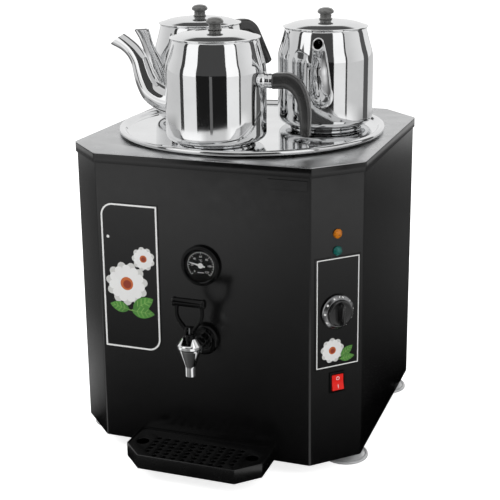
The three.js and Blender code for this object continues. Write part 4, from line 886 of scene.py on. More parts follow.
@dataclass
class Tap:
    """The chrome tap with its black lever."""

    reach: float = 50.0
    height: float = 180.0
    nozzle: tuple[float, float] = (147.0, 162.0)
    collar: tuple[float, float] = (187.0, 191.0)
    shoulder: float = 200.0
    bonnet: float = 204.7
    hinge: float = 209.0
    bar_height: float = 246.5
    bar: tuple[float, float] = (6.2, 44.0)

    @property
    def axis(self) -> Matrix:
        """Give the place of the tap's upright axis."""
        return shifted(SERVICE_X, FRONT_Y - self.reach, 0)

    @property
    def lying(self) -> Matrix:
        """Give the frame of the tap's level axis on the front."""
        return front(SERVICE_X, self.height - CASING_BOTTOM)

    def body(self) -> Object:
        """Model the chrome body with its socket, collar, slot and bore."""
        low, high = self.nozzle
        profile = filleted([
            (5.0, low), (5.9, low), (6.8, low + 1.2, 0.6), (6.9, high - 1, 8),
            (14.6, self.collar[0] - 3.2, 9),
            (15.0, self.collar[0] - 1.6, 0.8), (16.0, self.collar[0], 1.2), (16.0, self.collar[1], 1.4),
            (9.8, self.shoulder - 0.6, 4), (9.4, self.shoulder, 0.5), (6.5, self.shoulder, 0.3),
            (6.5, self.collar[1] + 1.2, 0.4), (12.0, self.collar[1] - 1.2, 0.4),
            (12.0, self.collar[0], 2),
            (8.8, 170.3, 1), (5.0, 170.0, 0.5), (5.0, low),
        ], 5)
        body = Bench.spun("tap_casting", profile, 96)
        Bench.less(body, Bench.block("slot", (12.8, 40, 12), (0, 0, self.collar[1] + 8)))
        Bench.less(body, Bench.placed(Bench.rod("passage", 5.5, 8, 30, 48), turned(-90, "X")))
        Bench.placed(Bench.bevelled(body, 0.25, 2, 40), self.axis)
        socket = Bench.spun("tap_socket", filleted([
            (8.3, 32.0), (9.2, 32.0), (10.5, 33.2, 0.9), (10.5, 36.5, 0.6), (9.7, 37.6, 0.8),
            (9.7, 41.0), (8.3, 41.0), (8.3, 32.0),
        ], 4), 64)
        Bench.placed(socket, self.lying)
        return Bench.smooth(Bench.joined("tap_body_chrome", body, socket), 35)

    def flange(self) -> Object:
        """Model the black rosette against the front."""
        profile = filleted([
            (8.3, 0.3), (21, 0.3, 0.4), (21, 5.4, 1.6), (19, 9, 3.5), (13, 9, 2), (11.5, 7.4, 1.5),
            (8.3, 7.4), (8.3, 0.3)], 6)
        return Bench.smooth(Bench.placed(Bench.spun("tap_rosette", profile, 96), self.lying))

    def bonnet_ring(self) -> Object:
        """Model the black bonnet in the body's neck."""
        profile = filleted([
            (2.1, 192.3), (6.2, 192.3, 0.3), (6.2, 201.2, 0.4), (5.6, 202, 0.4), (6.2, 202.8, 0.4),
            (6.2, self.bonnet, 0.9), (2.1, self.bonnet, 0.3), (2.1, 192.3),
        ], 4)
        return Bench.smooth(Bench.placed(Bench.spun("tap_bonnet_ring", profile, 64), self.axis))

    def lever(self) -> Object:
        """Model the forked lever with its round cross bar."""
        rows = eased([
            (6.0, 210.5, 2.6, 3.5, 62), (9.0, 215, 2.4, 3.5, 58), (13.4, 220.5, 2.3, 3.5, 54),
            (16.6, 227, 2.3, 3.5, 72), (17.3, 234, 2.3, 3.5, 90), (16.7, 241, 2.4, 3.5, 96),
            (16.2, self.bar_height, 2.6, 3.5, 94),
        ], 22)
        arms = []
        for side in (1, -1):
            arm = Bench.capped(Bench.lofted("arm", rows, 24, 0.7))
            if side < 0:
                Bench.placed(arm, turned(180))
            arms.append(arm)
        hub = Bench.block("hub", (12.2, 8.0, 9.4), (0, 0, self.hinge + 0.7))
        Bench.bevelled(hub, 2.4, 5)
        neck = Bench.block("neck", (12.0, 7.0, 4.0), (0, 0, 212.6))
        Bench.bevelled(neck, 1.4, 4)
        for part in (hub, neck):
            Bench.less(part, Bench.block("tilt_room", (4.8, 20, 14.2), (0, 0, self.hinge - 2.4)))
        radius, length = self.bar
        bar = Bench.spun("bar", filleted([
            (0, -length / 2), (radius - 1.2, -length / 2, 0.5), (radius, -length / 2 + 1.4, 1.0),
            (radius, -length / 2 + 3, 0.4),
            (radius - 0.7, -length / 2 + 4, 1), (radius - 0.7, length / 2 - 4, 1),
            (radius, length / 2 - 3, 0.4),
            (radius, length / 2 - 1.4, 1.0), (radius - 1.2, length / 2, 0.5), (0, length / 2),
        ], 4), 64)
        Bench.placed(bar, shifted(0, 0, self.bar_height) @ turned(90, "Y"))
        piece = Bench.joined("tap_lever_fork", hub, neck, bar, *arms)
        return Bench.smooth(Bench.placed(piece, self.axis), 38)

    def build(self) -> None:
        """Model, dress and fix the tap's pieces."""
        fitted(dress(self.body(), Finish.CHROME), "urn", "tap_chrome", "tap_body")
        fitted(dress(self.flange(), Finish.BLACK_PLASTIC), "urn", "black_plastic", "tap_flange")
        fitted(dress(self.bonnet_ring(), Finish.BLACK_PLASTIC), "urn", "black_plastic", "tap_bonnet")
        fitted(dress(self.lever(), Finish.BLACK_PLASTIC), "lever", "black_plastic", "tap_lever")


@dataclass
class Gauge:
    """The dial thermometer."""

    height: float = 261.0
    radius: float = 26.5
    lip: float = 21.0
    reach: float = 7.0
    start: float = 225.0
    sweep: float = 270.0
    top_value: int = 120
    pointer_angle: float = 167.4
    ticks: int = 24
    ticks_per_number: int = 4
    tick_end: float = 17.6
    number_ring: float = 11.9
    number_size: float = 3.7
    print_level: float = 2.03

    @property
    def frame(self) -> Matrix:
        """Give the dial's frame on the front."""
        return front(0.0, self.height)

    def bezel(self) -> Object:
        """Model the black bezel."""
        profile = filleted([
            (24.3, 0.3), (self.radius, 0.3, 0.3), (self.radius, 5.0, 2.0), (25.0, self.reach, 1.6),
            (22.6, self.reach, 1.0),
            (self.lip, 6.1, 0.3), (self.lip, 6.0), (24.3, 6.0), (24.3, 0.3)], 6)
        return Bench.smooth(Bench.placed(Bench.spun("gauge_bezel_ring", profile, 128), self.frame))

    def dial(self) -> list[Object]:
        """Model the dial's face with its ticks, arc and numbers."""
        face = Bench.spun("gauge_dial_face", filleted([
            (1.5, 1.4), (22.6, 1.4, 0.2), (22.6, 2.0, 0.2), (1.5, 2.0), (1.5, 1.4)], 3), 96)
        marks = []
        for index in range(self.ticks + 1):
            angle = math.radians(self.start - self.sweep * index / self.ticks)
            long = index % self.ticks_per_number == 0
            length, width = (2.6, 0.55) if long else (1.5, 0.35)
            tick = Bench.block("tick", (length, width, 0.05), (self.tick_end - length / 2, 0, 2.04))
            marks.append(Bench.placed(tick, Matrix.Rotation(angle, 4, "Z")))
            if long:
                value = str(self.top_value * index // self.ticks)
                spot = (self.number_ring * math.cos(angle), self.number_ring * math.sin(angle))
                marks.append(Bench.words("number", value, self.number_size, spot, self.print_level))
        marks.append(Bench.words("unit", "°C", 4.2, (0, 6.4), self.print_level))
        arc_line = []
        steps = 60
        for radius, order in ((18.0, range(steps + 1)), (self.tick_end, range(steps, -1, -1))):
            for index in order:
                angle = math.radians(self.start - self.sweep * index / steps)
                arc_line.append((radius * math.cos(angle), radius * math.sin(angle)))
        marks.append(Bench.slab("arc", arc_line, 2.01, 2.05))
        bar = Bench.block("bar", (9.0, 0.8, 0.05), (0, -9.5, 2.04))
        prints = Bench.joined("gauge_dial_print", bar, *marks)
        return [Bench.smooth(Bench.placed(face, self.frame)), Bench.placed(prints, self.frame)]

    def pointer(self) -> Object:
        """Model the white pointer with its hub."""
        outline = [(-6, -0.9), (3, -1.1), (16, -0.4), (16, 0.4), (3, 1.1), (-6, 0.9)]
        blade = Bench.slab("gauge_needle", outline, 2.6, 3.2)
        Bench.bevelled(blade, 0.12, 2)
        hub = Bench.spun("hub", filleted([
            (0, -13.4), (1.2, -13.4), (1.2, 2.6), (3.6, 2.6, 0.2), (3.6, 3.5, 0.5), (0, 3.8)], 4), 48)
        piece = Bench.joined("gauge_needle", blade, hub)
        return Bench.smooth(Bench.placed(piece, self.frame @ turned(self.pointer_angle)))

    def glass(self) -> Object:
        """Model the thin flat glass."""
        profile = filleted([(0, 4.5), (24, 4.5, 0.2), (24, 5.7, 0.2), (0, 5.7)], 3)
        return Bench.smooth(Bench.placed(Bench.spun("gauge_window", profile, 96), self.frame))

    def build(self) -> None:
        """Model, dress and fix the thermometer's pieces."""
        fitted(dress(self.bezel(), Finish.BLACK_PLASTIC), "urn", "black_plastic", "gauge_bezel")
        face, prints = self.dial()
        fitted(dress(face, Finish.DIAL), "urn", "gauge_face", "gauge_dial")
        fitted(dress(prints, Finish.WHITE), "urn", "gauge_face")
        fitted(dress(self.pointer(), Finish.WHITE), "pointer", "pointer_white", "gauge_pointer")
        fitted(dress(self.glass(), Finish.GLASS), "urn", "gauge_glass", "gauge_glass")


@dataclass
class Controls:
    """The lamps, knob and rocker switch on the corner face."""

    amber: float = 311.5
    green: float = 289.0
    lamp: float = 6.3
    knob: float = 208.5
    knob_radius: float = 23.0
    cap_radius: float = 17.0
    switch: float = 111.5
    switch_along: float = 1.0
    rocker: tuple[float, float] = (16.4, 22.0)
    rocker_tilt: float = 7.0
    dots: int = 9
    dot_start: float = -60.0
    dot_step: float = 34.0
    dot_ring: float = 20.6

    def lamps(self) -> None:
        """Model a cut lens, copy it and fix both lamps."""
        profile = [
            (0, -24), (4.8, -24), (4.8, 0.3), (self.lamp, 0.3), (self.lamp, 1.4), (5.9, 2.2), (4.3, 4.0),
            (2.0, 4.9), (0, 5),
        ]
        lens = Bench.spun("lens", profile, 12)
        lamps = (("lamp_amber", self.amber, Finish.AMBER), ("lamp_green", self.green, Finish.GREEN))
        for name, height, finish in lamps:
            piece = Bench.copied(lens, f"{name}_lens", corner(height))
            Bench.bevelled(piece, 0.15, 2, 12)
            fitted(dress(piece, finish), "urn", name, name)
        bpy.data.objects.remove(lens)

    def knob_pieces(self) -> list[Object]:
        """Model the knob with its grip ridge, rim ring and marks."""
        skirt = Bench.spun("thermostat_knob_body", filleted([
            (0, 1.2), (self.knob_radius - 0.4, 1.2, 0.3), (self.knob_radius, 3.6, 0.6),
            (self.knob_radius - 1.0, 5.2, 0.8),
            (18.6, 7.9, 1.0), (self.cap_radius + 0.3, 7.9, 0.5), (self.cap_radius, 7.0, 0.4),
            (self.cap_radius, 10.2, 0.6),
            (self.cap_radius - 1.2, 11.2, 1.0), (self.cap_radius - 5, 10.8, 2.0), (0, 10.6),
        ], 5), 96)
        half = self.cap_radius - 0.8
        rows = eased([
            (0, 10.2, 4.8, half, 90), (0, 12.4, 4.3, half - 0.6, 90), (0, 16, 3.3, half - 1.6, 90),
            (0, 19.6, 2.5, half - 2.8, 90),
            (0, 21.4, 1.7, half - 4.0, 90), (0, 22, 0.6, half - 5.6, 90),
        ], 14)
        ridge = Bench.capped(Bench.lofted("ridge", rows, 48, 0.25))
        for part in (skirt, ridge):
            Bench.less(part, Bench.rod("bore", 3.3, 0.5, 11.0, 32))
        body = Bench.joined("thermostat_knob_body", skirt, ridge)
        marks = [Bench.block("index", (1.4, 4.2, 0.06), (0, 20.3, 6.75))]
        for number in range(self.dots):
            angle = math.radians(self.dot_start + number * self.dot_step)
            dot = Bench.rod("dot", 0.7 + 0.12 * number, 0, 0.06, 20)
            tilt = Matrix.Rotation(math.radians(46), 4, Vector((-math.sin(angle), math.cos(angle), 0)))
            place = shifted(self.dot_ring * math.cos(angle), self.dot_ring * math.sin(angle), 6.62)
            marks.append(Bench.placed(dot, place @ tilt))
        prints = Bench.joined("thermostat_knob_print", *marks)
        frame = corner(self.knob)
        dress(body, Finish.KNOB)
        body.data.materials.append(Finish.KNOB_RIM.material)
        for face in body.data.polygons:
            out = math.hypot(face.center.x, face.center.y) / MM
            if out > self.cap_radius + 0.6 and face.center.z > 3.0 * MM:
                face.material_index = 1
        return [Bench.smooth(Bench.placed(body, frame), 38), Bench.placed(prints, frame)]

    def housing(self) -> Object:
        """Model the switch housing with its bezel and blades."""
        bezel = Bench.block("switch_frame", (22, 28, 1.7), (0, 0, 1.15))
        Bench.edit(bezel, "FACE", False)
        Bench.pick_faces(bezel, lambda middle, normal: normal.z > 0.9)
        bpy.ops.mesh.inset(thickness=1.1 * MM, depth=0.35 * MM)
        Bench.close(bezel)
        Bench.bevelled(bezel, 0.45, 3)
        box = Bench.block("box", (18, 24, 22), (0, 0, -10))
        blades = [Bench.block("blade", (5, 0.8, 9), (0, row * 8.0, -24.5)) for row in (-1, 0, 1)]
        for part, middle in ((bezel, 8), (box, 4)):
            Bench.less(part, Bench.block("well", (17.0, 23.2, 30), (0, 0, middle)))
        piece = Bench.joined("switch_frame", bezel, box, *blades)
        return Bench.smooth(Bench.placed(piece, corner(self.switch, self.switch_along)), 35)

    def rocker_pieces(self) -> list[Object]:
        """Model the red rocker and its two marks."""
        width, tall = self.rocker
        half = tall / 2
        line = filleted([
            (-0.5, -half + 0.1), (4.2, -half + 0.75, 0.7), (3.0, 0, 14), (4.2, half - 0.75, 0.7),
            (-0.5, half - 0.1),
            (-2.2, half - 0.3, 0.5), (-8, 0, 3), (-2.2, 0.3 - half, 0.5), (-0.5, -half + 0.1)], 6)[:-1]
        body = Bench.slab("rocker_body", line, -width / 2, width / 2)
        Bench.bevelled(body, 0.5, 3, 25)
        frame = corner(self.switch, self.switch_along) @ turned(-self.rocker_tilt, "X")
        Bench.placed(body, turned(-90, "Y"))
        ring = Bench.spun("ring", [(1.75, 0), (2.45, 0), (2.45, 0.06), (1.75, 0.06), (1.75, 0)], 32)
        slope = math.degrees(math.atan2(1.2, half - 0.75))
        Bench.placed(ring, shifted(0, 5.4, 3.72) @ turned(slope, "X"))
        stroke = Bench.block("stroke", (0.8, 4.8, 0.06), (0, 0, 0.03))
        Bench.placed(stroke, shifted(0, -5.4, 3.72) @ turned(-slope, "X"))
        prints = Bench.joined("rocker_print", ring, stroke)
        return [Bench.smooth(Bench.placed(body, frame), 35), Bench.placed(prints, frame)]

    def build(self) -> None:
        """Model, dress and fix the controls."""
        self.lamps()
        body, prints = self.knob_pieces()
        fitted(body, "knob", "black_plastic", "thermostat_knob")
        fitted(dress(prints, Finish.WHITE), "knob", "black_plastic")
        fitted(dress(self.housing(), Finish.BLACK_PLASTIC), "urn", "black_plastic", "switch_housing")
        body, prints = self.rocker_pieces()
        fitted(dress(body, Finish.RED), "rocker", "rocker_red", "switch_rocker")
        fitted(dress(prints, Finish.WHITE), "rocker", "rocker_red")


@dataclass
class Print:
    """Flat printed motifs: open flowers and leaves, in a label's own frame."""

    level: float = 0.82
    petal: tuple[Point, ...] = ((0.2, 0.45), (0.45, 0.85), (0.7, 1.05), (0.88, 0.92), (0.97, 0.5))
    made: dict[Finish, list[Object]] = field(default_factory=dict)

    def put(self, finish: Finish, outline: Sequence[Point], level: float = 0.0) -> None:
        """Print one closed outline in one colour."""
        low = self.level + level
        self.made.setdefault(finish, []).append(Bench.slab("motif", outline, low, low + 0.02))

    @staticmethod
    def disc(centre: Point, radius: float) -> list[Point]:
        """Give a round outline."""
        x, y = centre
        angles = [math.tau * step / 48 for step in range(48)]
        return [(x + radius * math.cos(angle), y + radius * math.sin(angle)) for angle in angles]

    def flower(self, centre: Point, radius: float, petals: int, turn: float) -> None:
        """Print an open flower.

        Args:
            centre: Where its heart lies.
            radius: How far its petals reach.
            petals: How many petals each of its two rows has.
            turn: Angle of the first petal in degrees.
        """
        for row, (reach, finish) in enumerate(((1.0, Finish.PETAL), (0.86, Finish.WHITE))):
            for number in range(petals):
                angle = math.radians(turn + (number + row / 2) * 360 / petals)
                along = Vector((math.cos(angle), math.sin(angle)))
                side = Vector((-along.y, along.x)) * radius * 2.2 / petals
                outline = []
                for share, half in (*self.petal, (1.0, 0.0)):
                    outline.append(Vector(centre) + along * radius * reach * share + side * half)
                for share, half in reversed(self.petal):
                    outline.append(Vector(centre) + along * radius * reach * share - side * half)
                level = 0.03 * row + 0.002 * (number % 3)
                self.put(finish, [(point.x, point.y) for point in outline], level)
        self.put(Finish.HEART, self.disc(centre, radius * 0.3), 0.07)
        seeds = (centre[0] + radius * 0.02, centre[1] - radius * 0.03)
        self.put(Finish.SEED, self.disc(seeds, radius * 0.19), 0.1)

    def leaf(self, root: Point, length: float, width: float, turn: float, level: float = 0.09) -> None:
        """Print a leaf with a pale rib and veins."""
        angle = math.radians(turn)
        along = Vector((math.cos(angle), math.sin(angle)))
        side = Vector((-along.y, along.x))
        start = Vector(root)

        def at(share: float, out: float) -> Point:
            point = start + along * length * share + side * out
            return (point.x, point.y)

        steps = 16
        swell = [math.sin(math.pi * (k / steps) ** 0.85) ** 0.8 * width / 2 for k in range(steps + 1)]
        outline = [at(k / steps, swell[k]) for k in range(steps + 1)]
        outline += [at(k / steps, -swell[k]) for k in range(steps - 1, 0, -1)]
        self.put(Finish.LEAF, outline, level)
        thin = length * 0.012
        rib = [at(-0.12, thin), at(0.95, thin * 0.3), at(0.95, -thin * 0.3), at(-0.12, -thin)]
        self.put(Finish.LEAF_PALE, rib, level + 0.03)
        for share in (0.2, 0.38, 0.56, 0.72):
            reach = swell[min(steps, round((share + 0.14) * steps))] * 0.82
            for sign in (-1, 1):
                tip = sign * reach
                vein = [at(share, 0), at(share + 0.14, tip), at(share + 0.17, tip), at(share + 0.03, 0)]
                self.put(Finish.LEAF_PALE, vein, level + 0.03)

    def joined(self, name: str) -> Object:
        """Make one piece of the motifs, with a slot for each colour."""
        parts = []
        for finish, shapes in self.made.items():
            part = Bench.joined(f"{name}_{finish.name.lower()}", *shapes)
            parts.append(dress(part, finish))
        return Bench.joined(name, *parts)


@dataclass
class Labels:
    """The two printed labels and the bare plate."""

    x: float = -100.5
    height: float = 233.7
    width: float = 83.0
    tall: float = 203.0
    round_corner: float = 18.5
    stroke: float = 2.3
    thin_stroke: float = 1.4
    margin: float = 1.5
    panel_along: float = 1.2
    panel_height: float = 206.8
    panel_width: float = 66.5
    panel_tall: float = 150.0
    plate: tuple[float, float, float, float] = (116.5, 376.0, 52.0, 13.0)

    @staticmethod
    def film(name: str, outline: Sequence[Point], low: float = 0.3, high: float = 0.8) -> Object:
        """Model a printed film with soft edges."""
        return Bench.bevelled(Bench.slab(name, outline, low, high), 0.12, 2)

    def leaf_shape(self, inset: float) -> list[Point]:
        """Give the front label's outline, round at two corners, drawn in by an inset."""
        x, y = self.width / 2 - inset, self.tall / 2 - inset
        radius = max(self.round_corner - inset, 1.0)
        small = 0.8
        ring = [(0, -y), (x, -y, radius), (x, y, small), (-x, y, radius), (-x, -y, small), (0, -y)]
        return filleted(ring, 10)[:-1]

    @staticmethod
    def frame_line(name: str, outer: Sequence[Point], inner: Sequence[Point]) -> Object:
        """Print a line between two closed outlines."""
        line = Bench.slab(name, outer, 0.82, 0.86)
        Bench.less(line, Bench.slab("inside", inner, 0.5, 1.2))
        return line

    def front_label(self) -> None:
        """Model, print and fix the front label."""
        frame = front(self.x, self.height)
        film = Bench.placed(self.film("front_label_film", self.leaf_shape(0)), frame)
        fitted(dress(film, Finish.LABEL), "urn", "label_print", "front_label")
        outer, inner = self.leaf_shape(self.margin), self.leaf_shape(self.margin + self.stroke)
        line = self.frame_line("front_label_line", outer, inner)
        dot = Bench.rod("dot", 2.0, 0.82, 0.86, 32, (-30.7, 54.3))
        line = Bench.joined("front_label_line", line, dot)
        fitted(dress(Bench.placed(line, frame), Finish.WHITE), "urn", "label_print")
        art = Print()
        art.flower((-6.0, -9.0), 30.5, 11, 8.0)
        art.flower((19.0, 27.5), 16.5, 9, 20.0)
        art.leaf((2.0, -44.0), 34.0, 19.0, 30.0, 0.13)
        art.leaf((0.0, -46.0), 33.0, 17.0, -4.0, 0.19)
        art.leaf((-4.0, -45.0), 28.0, 15.0, 168.0, 0.13)
        fitted(Bench.placed(art.joined("front_label_art"), frame), "urn", "label_print")

    def control_label(self) -> None:
        """Model, print and fix the label round the knob."""
        frame = corner(self.panel_height, self.panel_along)
        x, y = self.panel_width / 2, self.panel_tall / 2
        film = self.film("control_label_film", rectangle(x, y))
        knob = (-self.panel_along, Controls.knob - self.panel_height)
        Bench.less(film, Bench.rod("hole", 4.8, -1, 2, 48, knob))
        fitted(dress(Bench.placed(film, frame), Finish.LABEL), "urn", "label_print", "control_label")
        a, b = x - 2.6, y - 2.0
        inner = rectangle(a - self.thin_stroke, b - self.thin_stroke)
        line = self.frame_line("control_label_line", rectangle(a, b), inner)
        fitted(dress(Bench.placed(line, frame), Finish.WHITE), "urn", "label_print")
        art = Print()
        art.flower((-7.5, -50.5), 17.0, 9, 12.0)
        art.leaf((5.0, -60.5), 21.0, 11.5, 36.0, 0.13)
        art.leaf((4.0, -64.0), 21.0, 10.0, 4.0, 0.19)
        fitted(Bench.placed(art.joined("control_label_art"), frame), "urn", "label_print")

    def name_plate(self) -> None:
        """Model and fix the bare plate."""
        x, height, width, tall = self.plate
        piece = Bench.block("bare_plate", (width, tall, 0.8), (0, 0, 0.7))
        Bench.bevelled(piece, 0.3, 3)
        Bench.placed(piece, front(x, height))
        fitted(dress(piece, Finish.LABEL), "urn", "label_print", "name_plate")

    def build(self) -> None:
        """Model, dress and fix the labels."""
        self.front_label()
        self.control_label()
        self.name_plate()


@dataclass
class DripTray:
    """The drip tray and its perforated grid."""

    width: float = 190.0
    reach: float = 77.0
    corner: float = 28.0
    bottom: float = CASING_BOTTOM
    tall: float = 20.0
    sheet: float = 1.2
    columns: int = 10
    rows: int = 6
    pitch: Point = (13.1, 9.4)
    first_row: float = 23.0
    hole: float = 3.2
    finger: tuple[float, float, float] = (77.0, 37.0, 8.5)
    tab: tuple[float, float, float] = (24.0, 12.0, 3.0)
    leg: tuple[float, float, float] = (1.2, 8.0, 16.4)
    leg_rows: Point = (10.1, 45.0)

    def outline(self, inset: float) -> list[Point]:
        """Give the tray's outline from above, with its back against the casing."""
        x, y = self.width / 2 - inset, self.reach - inset
        cut_off = self.corner - inset * (2 - math.sqrt(2))
        back = 0.3 + inset
        left = [(-x, -back), (-x, cut_off - y), (cut_off - x, -y)]
        return left + [(-a, b) for a, b in reversed(left)]

    def tray(self) -> Object:
        """Model the tray as a folded dish with two tabs."""
        piece = Bench.slab("drip_dish", self.outline(0), self.bottom, self.bottom + self.tall)
        Bench.bevelled(piece, 1.0, 3, 20)
        low, high = self.bottom + self.sheet, self.bottom + self.tall + 3
        Bench.less(piece, Bench.slab("hollow", self.outline(self.sheet), low, high))
        tabs = [Bench.block("tab", self.tab, (side * 55.0, 5.1, self.bottom + 12.5)) for side in (-1, 1)]
        for tab in tabs:
            Bench.bevelled(tab, 0.4, 2)
        piece = Bench.joined("drip_dish", piece, *tabs)
        return Bench.smooth(Bench.placed(piece, shifted(SERVICE_X, FRONT_Y, 0)), 35)

    def grid(self) -> Object:
        """Model the perforated plate with a rolled edge and its legs."""
        top = self.bottom + self.tall - 1.2
        piece = Bench.slab("drip_plate", self.outline(1.8), top - self.sheet, top)
        tools = []
        for row in range(self.rows):
            skipped = 1 if row == self.rows - 1 else 0
            for column in range(skipped, self.columns - skipped):
                x = (column - (self.columns - 1) / 2) * self.pitch[0]
                y = -self.first_row - row * self.pitch[1]
                tools.append(Bench.rod("hole", self.hole, top - 4, top + 3, 20, (x, y)))
        x, y, radius = self.finger
        tools += [Bench.rod("finger", radius, top - 4, top + 3, 40, (side * x, -y)) for side in (-1, 1)]
        Bench.less(piece, Bench.joined("holes", *tools))
        Bench.bevelled(piece, 0.3, 2, 50)
        spots = [(side * 92.6, -row, top - 9.0) for side in (-1, 1) for row in self.leg_rows]
        piece = Bench.joined("drip_plate", piece, *(Bench.block("leg", self.leg, spot) for spot in spots))
        return Bench.smooth(Bench.placed(piece, shifted(SERVICE_X, FRONT_Y, 0)), 35)

    def build(self) -> None:
        """Model, dress and fix the tray and its grid."""
        fitted(dress(self.tray(), Finish.TRAY_PAINT), "tray", "casing_paint", "drip_tray")
        fitted(dress(self.grid(), Finish.TRAY_PAINT), "grid", "casing_paint", "drip_grid")


class Shape(Enum):
    """How a teapot is made: with a bent spout and a low grip, or with a steep spout and a high grip."""

    LOW = "low"
    HIGH = "high"


@dataclass(frozen=True)
class Place:
    """Where a teapot stands and how it is turned, in degrees."""

    name: str
    at: float
    turn: float
    shape: Shape


@dataclass
class Teapots:
    """Three polished teapots."""

    spacing: float = 105.0
    stand: float = 422.2
    radius: float = 66.8
    mouth: float = 56.6
    height: float = 137.3
    shoulder: float = 99.0
    lid_radius: float = 59.6
    dome: float = 9.6
    knob_top: float = 163.8
    sheet: float = 1.0
    spout_root: float = 50.0
    places: tuple[Place, ...] = (
        Place("pot_front", -97.0, 0.0, Shape.LOW),
        Place("pot_right", 28.5, 102.0, Shape.LOW),
        Place("pot_left", 154.0, 52.0, Shape.HIGH),
    )
    steep_rows: tuple[tuple[float, ...], ...] = (
        (58, 50, 16, 13.8, 20), (66, 60.2, 15, 13.4, 55), (71.9, 76.4, 13.3, 12.2, 63),
        (76.6, 89.1, 10.9, 10.2, 66),
        (81, 101, 8.8, 8.6, 68), (85.6, 112.9, 8, 7.8, 70), (89.6, 124.8, 8.8, 7.5, 76),
        (94.5, 135, 10.6, 7.4, 90),
    )
    bent_rows: tuple[tuple[float, ...], ...] = (
        (58, 50, 16, 13.8, 5), (76, 53.2, 15.5, 13.6, 14), (90.8, 62.2, 14.6, 13.1, 45),
        (99, 75.9, 13.4, 12.3, 66),
        (103.9, 88.9, 12, 11, 72), (108.8, 103.5, 10.6, 9.2, 64), (117, 115.6, 9.3, 7.6, 48),
        (127.7, 124.5, 8.8, 6.6, 45),
        (140, 131, 10.6, 6, 58),
    )

    def wall_line(self, inset: float) -> list[Point]:
        """Give the wall's line from the bottom's edge to the mouth, drawn in by an inset."""
        wide = self.radius - inset
        top = (self.mouth - inset, self.height)
        turn_low = bend((53, 3.5 + inset), (wide, 3.5 + inset), (wide, 15), 10)
        slope = (wide - top[0]) / (self.height - self.shoulder)
        rounded = 7.5
        start = self.shoulder + rounded
        turn_high = bend(
            (wide, self.shoulder - rounded), (wide, self.shoulder), (wide - slope * rounded, start), 12)
        steps = 10
        for step in range(1, steps + 1):
            height = start + (self.height - start) * step / steps
            sag = 0.4 * math.sin(math.pi * step / steps)
            turn_high.append((wide - slope * (height - self.shoulder) - sag, height))
        return turn_low + turn_high

    def shell(self) -> Object:
        """Spin the body with its foot ring and rolled mouth."""
        outer = self.wall_line(0.0)[:-1] + [
            (self.mouth + 0.2, self.height - 1.9), (self.mouth + 0.9, self.height - 1.3),
            (self.mouth + 1.0, self.height - 0.5), (self.mouth + 0.4, self.height)]
        inner = list(reversed(self.wall_line(self.sheet)))
        ring = filleted([(47.6, 3.6), (47.6, 0, 0.6), (51.2, 0, 1.4), (51.8, 2.6, 1.2), (53, 3.5)], 4)
        profile = [(0, 3.5), *ring, *outer[1:], *inner, (0, 3.5 + self.sheet)]
        return Bench.spun("shell", profile, 160)

    def core(self, grow: float) -> Object:
        """Spin a solid that fills a teapot, to trim what meets its wall."""
        line = self.wall_line(-grow)
        top = self.height + 4
        return Bench.spun("core", [(0, 3.0), *line, (self.mouth + grow, top), (0, top)], 160)

    def spout(self, rows: Sequence[Sequence[float]]) -> Object:
        """Model a curved spout, hollow, with a cut lip."""
        piece = Bench.lofted("spout", eased(rows, 56), 48)
        Bench.applied(piece, "SOLIDIFY", thickness=1.7 * MM, offset=-1.0, use_even_offset=True)
        Bench.less(piece, self.core(-0.4))
        return Bench.smooth(piece, 40)

    def socket(self, height: float, profile: Sequence[tuple[float, ...]]) -> Object:
        """Spin the steel socket that holds a grip, along +X, from radii and reaches."""
        level = shifted(0, 0, height) @ turned(90, "Y")
        piece = Bench.placed(Bench.spun("socket", filleted(profile, 4), 64), level)
        return Bench.smooth(Bench.less(piece, self.core(-0.4)), 35)

    def low_grip(self) -> Object:
        """Model the plastic grip that starts level and bends down."""
        rows = [
            (80.3, 84, 9.9, 9.9, 0), (82, 84.4, 10.4, 10.2, 0), (90.3, 85, 10.5, 9.8, 0),
            (100.8, 84.6, 10.6, 9.2, -20),
            (111.5, 77.3, 9.8, 8.8, -50), (118.9, 64.2, 8.4, 8.4, -68),
            (122.6, 46.3, 7.5, 8.0, -84), (123.2, 28, 6.9, 7.6, -90),
            (123.1, 16.5, 6.4, 7.0, -92), (122.9, 14.4, 4.8, 5.4, -92), (122.8, 14.1, 1.8, 2.0, -92),
        ]
        return self.ridged("grip_low", rows)

    def high_grip(self) -> Object:
        """Model the plastic grip that starts just under the lid and slants down."""
        rows = [
            (62.3, 128, 9.6, 9.0, 0), (63.4, 128.1, 10.4, 9.6, 0), (70, 128.6, 10.2, 9.8, 0),
            (79.5, 127.6, 10.0, 9.6, -14),
            (88, 121.5, 9.4, 9.2, -46), (94.6, 111, 8.4, 8.8, -60), (101.8, 98, 7.6, 8.2, -61),
            (109, 84.9, 6.8, 7.6, -61),
            (115.2, 72.9, 6.2, 7.0, -61), (116, 71.4, 5.0, 5.5, -61), (116.2, 71, 1.8, 2.0, -61),
        ]
        return self.ridged("grip_high", rows)

    def ridged(self, name: str, rows: Sequence[Sequence[float]]) -> Object:
        """Draw a grip along its rows with a rounded square section, and close its ends."""
        body = [rows[0], *eased(rows[1:-2], 44), *rows[-2:]]
        piece = Bench.capped(Bench.lofted(name, body, 48, 0.85))
        return Bench.smooth(piece, 28)

